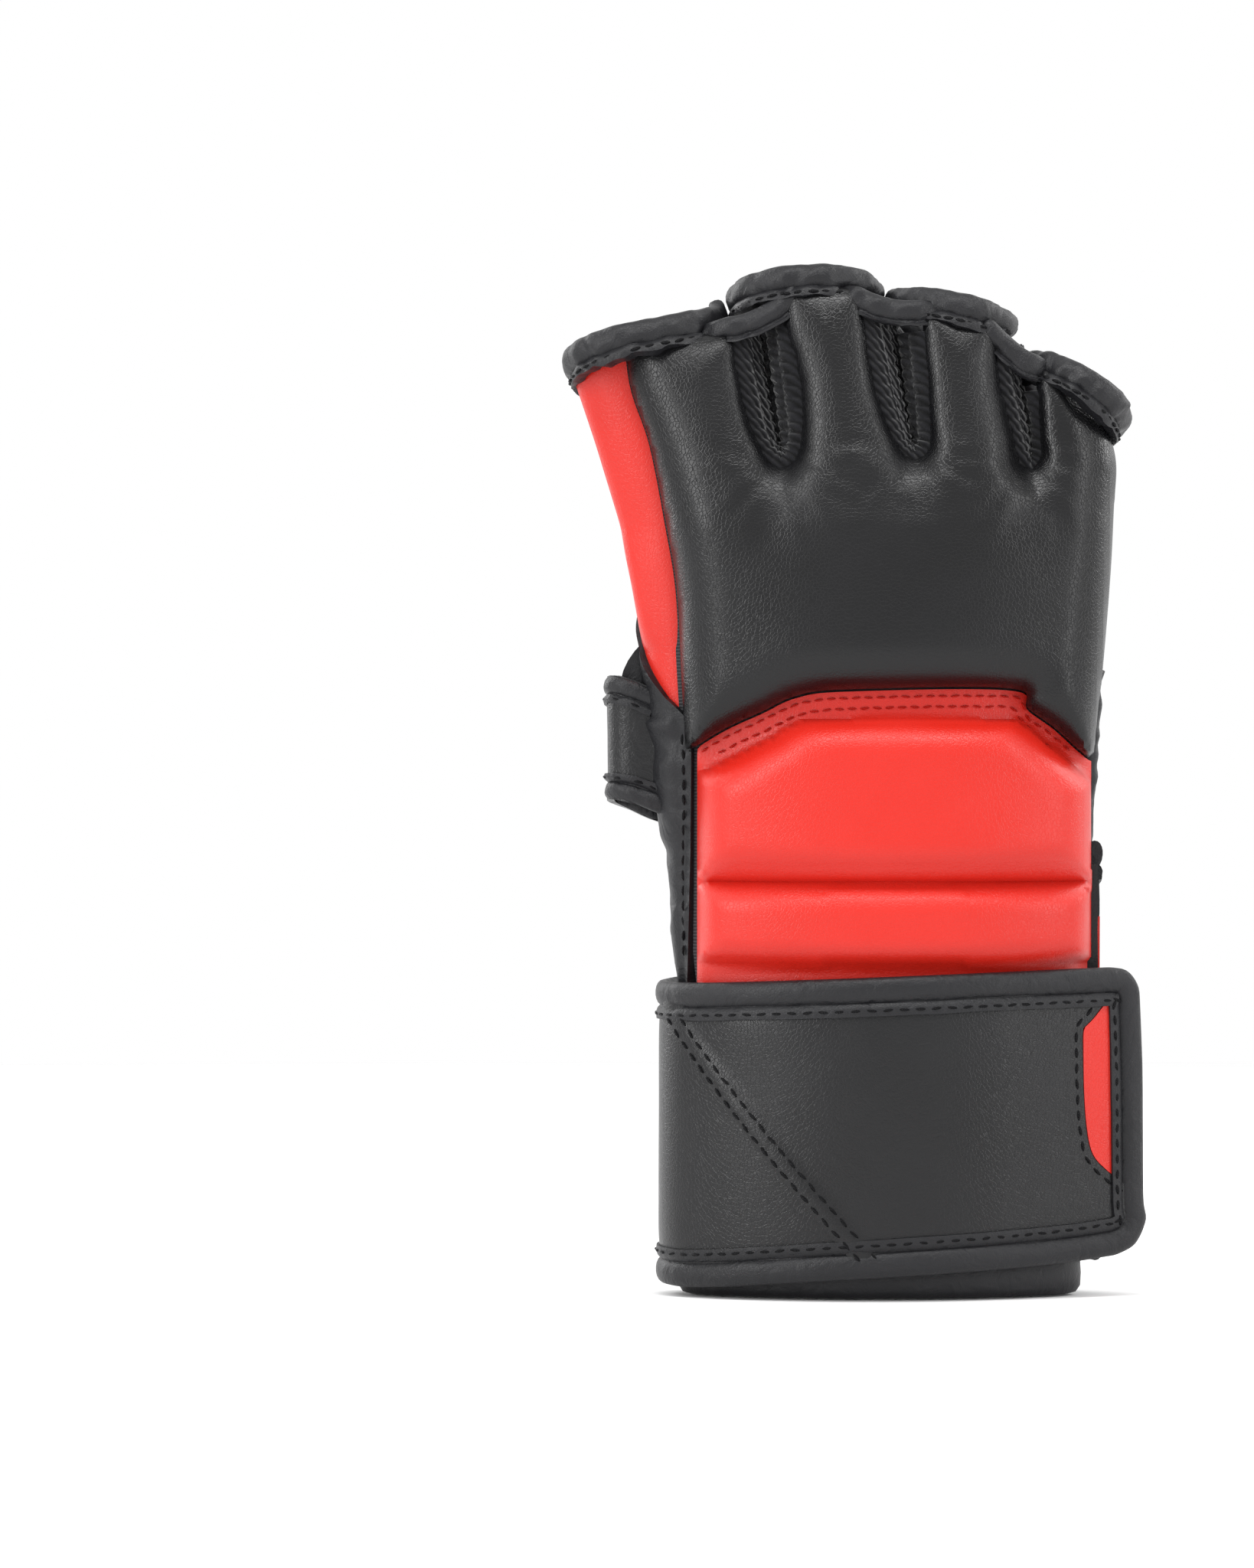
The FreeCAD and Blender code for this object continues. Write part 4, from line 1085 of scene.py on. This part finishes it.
def thumb_edge_top(u, z):
    roll = crown(np.clip(u - 4.2, 0, 99), 6) * crown(22 - u, 5)
    lip = 3.2 * (u <= 4.4)
    pinch = np.clip((z - 84) / 10, 0.25, 1)
    height = np.where(u <= 4.4, lip, 3.3 + 1.6 * roll)
    height = np.where(z > 139, np.minimum(height, 3.6), height)
    return height + np.where(z > 136, 0.3, 1.15 * pinch) * gathered(u, z, 21, 6.5) * crown(u, 3)


line = [(0, 8.4), (22, 8.4), (22, 167), (14, 155), (6, 144), (0, 138.5)]
piece = cut_piece("thumb_edge_binding", thumb_edge, line, -0.8, thumb_edge_top, 1.1)
keep(piece, "hand", TAPE_LEATHER, ["thumb_edge_tape"])
black_seams += [(thumb_edge, [(2.3, z) for z in (83, 100, 118, 134)], 3.75)]


# %% Little-finger-side binding, and the hem round the cuff
def little_edge(u, z, off):
    """u = 0 where the red pad ends and u = 16 on the palm side."""
    start = np.minimum(side_s(np.full_like(u, 58.6), z), -2.2)
    return little_edge_face(start + (6.5 - start) * u / 16, z, off)


def little_edge_top(u, z):
    roll = crown(u, 5) * crown(16 - u, 5)
    return 2.6 + 1.9 * roll + 0.7 * gathered(u, z, 33, 5.0) * crown(np.minimum(u, 16 - u), 3)


piece = cut_piece("little_edge_binding", little_edge, [(0, 8.4), (16, 8.4), (16, 152), (0, 150)],
                  -0.8, little_edge_top, 1.1)
keep(piece, "hand", TAPE_LEATHER, ["little_edge_tape"])

hem_section = np.array([[8.0, -2.6], [8.0, 2.9], [5, 3.2], [2, 2.9], [0.5, 2.0], [0, 0.2], [0.4, -1.8],
                        [2, -2.9], [5, -3.1]])
piece = tape("hem_binding", back_wrap, [(-59.9, 0), (59.9, 0)], hem_section, 2.8, turn=1, pleat=0.5, seed=8)
keep(piece, "hand", TAPE_LEATHER, ["hem_tape"])

# %% The binding round the open palm
ARCH_SECTION = tape_section(roll=7.0, lip=2.6, puff=2.5, sheet=0.9, thin=0.8)
arch_line = curve([(-48.6, 134.0), (-48.0, 142.0), (-45.8, 148.4), (-40.0, 153.6), (-33.0, 161.5),
                   (-25, 169.6), (-15.5, 175.8),
                   (-3, 178.6), (18, 179.4), (33, 177.4), (42.4, 172.4), (47.4, 164.0), (49.2, 153),
                   (49.4, 143.5), (49.4, 132)])
piece = tape("palm_arch_binding", palm_face, arch_line, ARCH_SECTION, 1.0, turn=1, pleat=1.5,
             pitch=6, seed=12)
keep(piece, "hand", TAPE_LEATHER, ["palm_arch_tape"])
arch_seam = arch_line[3:-2] + 8.1 * inward_of(arch_line, 1)[3:-2]
black_seams.append((palm_face, arch_seam, 2.75))
print("bindings done")

# %% [markdown]
# ## The strip round the thumb, and the wrist elastic
# A folded leather strip crosses the inside of the hand and circles the base of the thumb. It
# bears all the pull, so both its edges are bound, and the inner one gathers on the curve. It
# is drawn flat along its run, with the part past its fold going back behind the thumb.

# %% Thumb strip
BEFORE_FOLD = slice(0, np.argmin(STRIP[:, 0]))


def s_at(x):
    """Length along the strip at which it reaches x, before its fold."""
    return float(np.interp(-x, -STRIP[BEFORE_FOLD, 0], STRIP_S[BEFORE_FOLD]))


UPPER_RUN = curve([(s_at(21.5), 76), (s_at(20.5), 92), (s_at(16.5), 106), (s_at(9.5), 116.5),
                   (s_at(0), 123.5), (s_at(-12), 126.4), (s_at(-26), 127.4), (s_at(-36), 131),
                   (s_at(-44), 138.5), (s_at(-51), 145.5), (S_FOLD - 2.5, 148.5),
                   (S_FOLD + 4.5, 149.5), (S_FOLD + 14, 145.5)])
LOWER_RUN = curve([(s_at(7.5), 76), (s_at(6.5), 86), (s_at(2.5), 95.5), (s_at(-4.5), 103), (s_at(-14), 108),
                   (s_at(-26), 110.5), (s_at(-38), 112), (s_at(-48), 114.5), (S_FOLD - 3, 118.5),
                   (S_FOLD + 4, 119.5), (S_FOLD + 14, 116.0)])
outline = even(np.vstack([UPPER_RUN, LOWER_RUN[::-1]]), 1.5, closed=True)
piece = cut_piece("thumb_strip_leather", strip_face, outline, 0.2,
                  lambda s, z: 1.9 + 0.3 * soft_random(s, z, 9, 3), 1.6)
keep(piece, "hand", PALM_LEATHER, ["thumb_strip"])
STRIP_SECTION = tape_section(roll=4.4, lip=2.0, puff=1.9, sheet=1.0, thin=0.7)
piece = tape("thumb_strip_upper_binding", strip_face, UPPER_RUN, STRIP_SECTION, 1.0, turn=-1, pleat=0.6,
             pitch=6, seed=14, step=1.0)
keep(piece, "hand", TAPE_LEATHER, ["thumb_strip_upper_tape"])
piece = tape("thumb_strip_lower_binding", strip_face, LOWER_RUN, STRIP_SECTION, 1.0, turn=1, pleat=1.3,
             pitch=4.2, seed=15, step=1.0)
keep(piece, "hand", TAPE_LEATHER, ["thumb_strip_lower_tape"])
upper_seam = UPPER_RUN[2:-4] + 5.4 * inward_of(UPPER_RUN, -1)[2:-4]
lower_seam = LOWER_RUN[2:-4] + 5.4 * inward_of(LOWER_RUN, 1)[2:-4]
black_seams += [(strip_face, upper_seam, 2.75), (strip_face, lower_seam, 2.75)]
print("thumb strip", round(len(UPPER_RUN) * 1.0), "mm along its upper edge")


# %% Wrist elastic
def palm_wrap(q, z, off):
    """The inside of the wrist from side (q = -50) to side (q = 50)."""
    _, half, back, palm, end = oval_at(z)
    palm_r, _, palm_a = arcs(half, back, palm, end)[4:]
    length = palm_r * palm_a + (np.pi / 2 - palm_a) * end
    s = 6.3 + (length - 6.3) * (1 - np.abs(q) / 50)
    left, right = edge_face(s, z, off, -1), edge_face(s, z, off, 1)
    return np.where((q < 0)[..., None], left, right)


def elastic_wave(q, z):
    return 0.35 * np.sin(2 * math.pi * q / 4.5) * np.sin(math.pi * (z - 22) / 46)


piece = cut_piece("wrist_elastic_band", palm_wrap, [(-50, 22), (50, 22), (50, 68), (-50, 68)],
                  lambda q, z: 0.2 + elastic_wave(q, z), lambda q, z: 1.4 + elastic_wave(q, z), 1.1)
keep(piece, "hand", KNIT, ["wrist_elastic"])

# %% [markdown]
# ## The strap
# One long strap is sewn to the little-finger side of the cuff. It crosses the inside of the
# wrist, turns round the thumb side, and ends over the back of the hand in a tab with hook pile
# under it. It opens like a page; the lengths that turn the corner are not attached to either
# body and stay where they are drawn.

# %% Outline of the strap along its run
S_END = s_on_back(TAB_REACH - 0.9)
S_CORNER = s_on_back(68.0)
TOP_MARKS = ([(0.6, 109.6), (s_on_palm(51), 104.6), (s_on_palm(40), 99.2), (s_on_palm(30), 94.3)]
             + [(s_on_palm(x), z) for x, z in ((20, 90.2), (10, 86.6), (0, 83.6), (-11, 81.0),
                                                      (-24, 78.7), (-36, 77.0))]
             + [(S_THUMB, 75.8)]
             + [(s_on_back(x), z) for x, z in ((-36, 75.6), (-10, 76.6), (20, 77.8), (48, 78.8))]
             + [(S_CORNER - 7.5, 79.2)])
LOW_MARKS = ([(0.6, 7.8), (s_on_palm(30), 6.9), (s_on_palm(-10), 5.2), (S_THUMB, 2.7)]
             + [(s_on_back(x), z) for x, z in ((-36, 2.3), (-10, 4.4), (20, 6.3), (48, 8.1))]
             + [(S_END - 8.5, 9.8)])
end_marks = [(S_CORNER - 7.5, 79.2), (S_CORNER - 3.2, 78.4), (S_CORNER - 0.4, 75.2), (S_CORNER + 0.4, 71),
             (S_CORNER + 1.1, 52), (S_END - 1.2, 24), (S_END - 0.4, 18.5), (S_END - 3.4, 12.4),
             (S_END - 8.5, 9.8)]
TOP_EDGE, LOW_EDGE, END_EDGE = curve(TOP_MARKS), curve(LOW_MARKS), curve(end_marks, 0.7)
STRAP_EDGE = even(np.vstack([TOP_EDGE, END_EDGE[1:-1], LOW_EDGE[::-1]]), 1.2)


def strap_top_z(s):
    return np.interp(s, TOP_EDGE[:, 0], TOP_EDGE[:, 1])


def strap_low_z(s):
    return np.interp(s, LOW_EDGE[:, 0], LOW_EDGE[:, 1])


ROUND_THUMB = ("strap_wrap", "strap_tab", tuple((HOME + [0, 0.3, 0]) * MM),
               tuple((HOME + [0, -6.0, 0]) * MM))
print("strap edge", round(1.2 * len(STRAP_EDGE)), "mm of binding")

# %% Red insets of the strap
WRAP_INSET = curve([(0.9, 91.2), (s_on_palm(52), 88.6), (s_on_palm(44), 84.2), (s_on_palm(35.6), 78.4),
                    (s_on_palm(30.4), 71), (s_on_palm(29.6), 62), (s_on_palm(32.6), 52.2),
                    (s_on_palm(38.4), 42.6), (s_on_palm(45.6), 34.6), (s_on_palm(52.4), 31.0),
                    (0.9, 30.0)])
inset_top = [(S_CORNER - 7.4, 72.4), (S_CORNER - 9.4, 70.6), (S_CORNER - 12.6, 67), (S_CORNER - 15.4, 64.6)]
inset_side = [(S_CORNER - 15.6, 62.5), (S_CORNER - 15.4, 50), (S_CORNER - 14.6, 40.5),
              (S_CORNER - 13.0, 34.4), (S_CORNER - 9.4, 30.6), (S_END - 7.2, 27.4)]
TAB_INSET = np.vstack([curve(inset_top, 0.8), curve(inset_side, 0.8)])


def strap_swell(s, z):
    """The leather's outer face: flat, with the soft buckles of a strap that is often bent."""
    edge = np.minimum(strap_top_z(s) - z, z - strap_low_z(s)) - 8
    return 2.25 + 0.35 * crown(edge, 9) + 0.22 * soft_random(s, z, 24, 7) * crown(edge, 8)


outline = even(np.vstack([WRAP_INSET, [[0.9, 30.0]]]), 1.4, closed=True)
piece = cut_piece("strap_wrap_red_inset", strap_face, outline, 1.2,
                  lambda s, z: strap_swell(s, z) + 0.1, 2.0)
keep(piece, "strap_wrap", RED_LEATHER, ["strap_wrap_inset"])
outline = even(np.vstack([TAB_INSET, [(S_END - 6.6, 27.4), (S_CORNER - 5.4, 52), (S_CORNER - 6.4, 72.2)]]),
               1.2, closed=True)
piece = cut_piece("strap_tab_red_inset", strap_face, outline, 1.2,
                  lambda s, z: 2.2 + 0.25 * crown(S_CORNER - 7 - s, 4), 1.3)
keep(piece, "strap_tab", RED_LEATHER, ["strap_tab_inset"])

# %% Black leather of the strap
SPLIT_LINE = [(s_on_back(-43.4), 69.4), (s_on_back(1.6), 7.0)]


def split_s(z):
    """Where the diagonal seam is along the strap, at height z."""
    (top_s, top_z), (low_s, low_z) = SPLIT_LINE
    return np.interp(-z, [-top_z, -low_z], [top_s, low_s])


def shrink(line, distance, turn):
    return line + distance * inward_of(line, turn)


def seam_groove(s, z):
    """The diagonal seam's ridge: the tab's leather laps over the other and is sewn down twice."""
    d = (s - split_s(z)) * 0.81
    return 0.75 * np.exp(-((d - 2.2) / 2.6) ** 4)


wrap_low = LOW_EDGE[LOW_EDGE[:, 0] < split_s(10.0)]
wrap_top = TOP_EDGE[TOP_EDGE[:, 0] < split_s(68.0)]
wrap_outline = even(np.vstack([WRAP_INSET[::-1][:, :] - [0.2, 0], wrap_top + [0, -3],
                               [(split_s(z), z) for z in (71, 50, 30, 8)],
                               wrap_low[::-1] + [0, 3]]), 1.4, closed=True)
piece = cut_piece("strap_wrap_leather", strap_face, wrap_outline, 1.15, strap_swell, 2.0)
keep(piece, ROUND_THUMB, BLACK_PANEL, ["strap_wrap_panel", "strap_tab_gore"])
tab_low = LOW_EDGE[(LOW_EDGE[:, 0] > split_s(10.0) + 1)]
tab_top = TOP_EDGE[(TOP_EDGE[:, 0] > split_s(71.0) + 1)]
tab_outline = even(np.vstack([tab_low + [0, 3], [(S_END - 6.4, 16), (S_END - 6.4, 26.6)],
                              TAB_INSET[::-1] + [-0.3, 0], [(S_CORNER - 6.0, 74)], tab_top[::-1] + [0, -3],
                              [(split_s(z) - 0.2, z) for z in (71, 50, 30, 8)]]), 1.4, closed=True)
piece = cut_piece("strap_tab_leather", strap_face, tab_outline, 1.15,
                  lambda s, z: strap_swell(s, z) + seam_groove(s, z), 1.5)
keep(piece, "strap_tab", BLACK_PANEL, ["strap_tab_panel"])
print("strap leather", len(piece.data.polygons), "faces")

# %% Webbing, edge binding and the two piles
web_outline = even(np.vstack([wrap_top + [0, -3], tab_top + [0, -3], [(S_CORNER - 4, 60), (S_END - 5, 20)],
                              tab_low[::-1] + [0, 3], wrap_low[::-1] + [0, 3]]), 1.6, closed=True)
piece = cut_piece("strap_webbing", strap_face, web_outline, 0.05, 1.0, 2.2)
keep(piece, ROUND_THUMB, WEBBING, ["strap_wrap_webbing", "strap_tab_webbing"])
STRAP_SECTION = tape_section(roll=6.2, lip=3.0, puff=2.0, sheet=1.0, thin=0.75)
piece = tape("strap_edge_binding", strap_face, STRAP_EDGE, STRAP_SECTION, 1.35, turn=-1, pleat=0.28,
             pitch=11, seed=17, step=1.1)
keep(piece, ROUND_THUMB, TAPE_LEATHER,
     ["strap_wrap_top_tape", "strap_wrap_bottom_tape", "strap_tab_tape"])


def pile_height(seed):
    return lambda a, b: 0.25 * soft_random(a, b, 1.6, seed) + 0.15 * soft_random(a, b, 0.8, seed + 1)


patch = even([(-15.8, 14.2), (31.8, 14.2), (31.8, 71.8), (-15.8, 71.8)], 1.5, closed=True)
loops = pile_height(4)
piece = cut_piece("cuff_loop_pile", pad_face, patch, 6.15, lambda x, z: 7.05 + loops(x, z), 0.9)
keep(piece, "hand", PILE, ["loop_patch"])
hooks = pile_height(9)
patch = even([(s_on_back(-7.8), 16.4), (s_on_back(55.8), 20.2), (s_on_back(55.8), 69.8),
              (s_on_back(-7.8), 66.8)], 1.5, closed=True)
piece = cut_piece("tab_hook_pile", strap_face, patch, lambda s, z: -0.85 + hooks(s, z) * 0.5, -0.05, 0.9)
keep(piece, "strap_tab", HOOKS, ["hook_patch"])

# %% The seam that sews the strap to the cuff
def anchor_face(t, z, off):
    """t = 0 on the cuff's side and t = 6 over the start of the strap."""
    top = strap_face(np.clip(t - 3.4, 0.01, 9), z, off)
    top[..., 1] = np.where(t < 3.5, t - 3.9, top[..., 1])
    return top


piece = cut_piece("strap_anchor_fold", anchor_face, [(0.2, 9.4), (3.5, 9.4), (3.5, 104), (0.2, 104)],
                  -7.0, lambda t, z: 2.0 + 0.3 * gathered(t, z, 41, 8), 1.1)
keep(piece, "hand", BLACK_PANEL, ["strap_anchor"])
print("strap finished")

# %% [markdown]
# ## Thread
# The bindings are sewn with black thread, about seven stitches to the inch. The red flange
# under the knuckle pad is sewn twice with red thread, and the tab's lap twice with black. Each
# stitch is one small bead of thread, sunk at both ends where it goes through the leather.

# %% All the stitches
def lining_inside(x, z, off):
    return lining_face(x, z, -off)


flange = [(x, z - 2.1) for x, z in SEAM if -36 < x < 55]
flange_low = [(x + (0.6 if x < 0 else -0.8 if x > 40 else 0), z - 4.6) for x, z in SEAM if -33 < x < 52]
red_rows = [(pad_face, curve(flange[::6]), 3.65), (pad_face, curve(flange_low[::6]), 3.65)]
piece = stitches("red_flange_stitches", red_rows, length=2.2, pitch=3.0, thick=0.6)
keep(piece, "hand", RED_THREAD)
arc_marks = [(-33.5, 126.5), (-26, 131.6), (-18.5, 137), (-10, 140.6), (12, 142.4), (34, 143.4),
             (42.5, 140), (49, 134.5)]
black_seams += [(lining_inside, curve(arc_marks), 0.35),
                (lining_inside, curve([(x, z - 3.1) for x, z in arc_marks]), 0.35),
                (lining_inside, [(-45, 97.6), (47, 96.0)], 0.35),
                (lining_inside, [(-45, 93.8), (47, 92.8)], 0.35)]
piece = stitches("glove_stitches", black_seams)
keep(piece, "hand", THREAD)


def on_leather(s, z):
    """Height of thread on the strap's leather."""
    return strap_swell(s, z) + 0.12


def on_lap(s, z):
    """Height of thread on the diagonal lap."""
    return strap_swell(s, z) + seam_groove(s, z) + 0.2


edge_seam = STRAP_EDGE + 7.9 * inward_of(STRAP_EDGE, -1)
wrap_border = shrink(WRAP_INSET, 2.4, -1)
tab_border = shrink(TAB_INSET, 2.0, -1)
double = [[(a[0] + d, a[1]) for a in SPLIT_LINE] for d in (1.2, 5.4)]
double = [[(r[0][0] + 2.4, r[0][1] - 3.4), (r[1][0] - 2.4, r[1][1] + 3.4)] for r in double]
piece = stitches("strap_binding_stitches", [(strap_face, edge_seam[4:-4], 3.25)])
keep(piece, ROUND_THUMB, THREAD)
piece = stitches("strap_wrap_stitches", [(strap_face, wrap_border[4:-4], on_leather)])
keep(piece, "strap_wrap", THREAD)
piece = stitches("strap_tab_stitches", [(strap_face, tab_border, on_leather)]
                 + [(strap_face, row, on_lap) for row in double])
keep(piece, "strap_tab", THREAD)
print(len(PIECES), "pieces")

# %% [markdown]
# ## Light, floor and camera
# A white room with a pale floor and a large soft light on each side, above and behind, so that
# the leather shows broad soft highlights along its swells. The camera is level with the glove
# and far off, so that near and far pieces keep their true proportions.

# %% Stage
low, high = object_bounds()
mid_z = (low[2] + high[2]) / 2
bpy.ops.object.select_all(action="DESELECT")
bpy.ops.mesh.primitive_circle_add(vertices=96, radius=1.6, fill_type="NGON", location=(0, 0, -0.0003))
bpy.ops.object.transform_apply(location=True)
floor = bpy.context.object
floor.name = "studio_floor"
paper, tree, shader = new_material("white_floor_paper")
speck = add(tree, "ShaderNodeTexNoise", Scale=900.0, Detail=2.0)
tone = ramp(tree, speck.outputs["Fac"], [(0.3, (0.8, 0.8, 0.8)), (0.7, (0.82, 0.82, 0.82))])
tree.links.new(tone.outputs["Color"], shader.inputs["Base Color"])
shader.inputs["Roughness"].default_value = 0.9
floor.data.materials.append(paper)


def area_light(name, at, aim, size, power):
    data = bpy.data.lights.new(name, "AREA")
    data.shape, data.size, data.size_y, data.energy = "RECTANGLE", size[0], size[1], power
    light = bpy.data.objects.new(name, data)
    bpy.context.scene.collection.objects.link(light)
    light.location = at
    look = np.array(aim, float) - np.array(at, float)
    down = math.acos(-look[2] / np.linalg.norm(look))
    light.rotation_euler = (down, 0, math.atan2(look[1], look[0]) - math.pi / 2)
    return light


centre = (0, 0, mid_z)
area_light("left_softbox", (-1.1, -0.8, 0.65), centre, (0.4, 1.1), 11.5)
area_light("right_softbox", (1.15, -0.55, 0.5), centre, (0.3, 1.1), 5.2)
area_light("top_softbox", (0.05, -0.55, 1.2), centre, (1.0, 0.3), 9.0)
area_light("back_left_softbox", (-1.0, 0.8, 0.7), centre, (0.4, 1.1), 8)
area_light("back_right_softbox", (1.0, 0.6, 0.8), centre, (0.3, 1.1), 6)
world = bpy.data.worlds.new("studio")
bpy.context.scene.world = world
world.use_nodes = True
world.node_tree.nodes["Background"].inputs["Color"].default_value = (1, 1, 1, 1)
world.node_tree.nodes["Background"].inputs["Strength"].default_value = 1.0
bpy.context.scene.view_settings.view_transform = "Standard"

# %% Camera
data = bpy.data.cameras.new("camera")
camera = bpy.data.objects.new("camera", data)
bpy.context.scene.collection.objects.link(camera)
bpy.context.scene.camera = camera
FRAME_TALL = 379
SENSOR = 36
AIM_X, AIM_Z = -0.055, 0.1233
distance = 1.9
camera.location = (AIM_X, -distance, AIM_Z)
camera.rotation_euler = (math.pi / 2, 0, 0)
data.lens = SENSOR * distance * 1000 / FRAME_TALL
data.clip_start = 0.05

# %% Count the faces
print("faces", sum(len(o.data.polygons) for o in PIECES.values()))
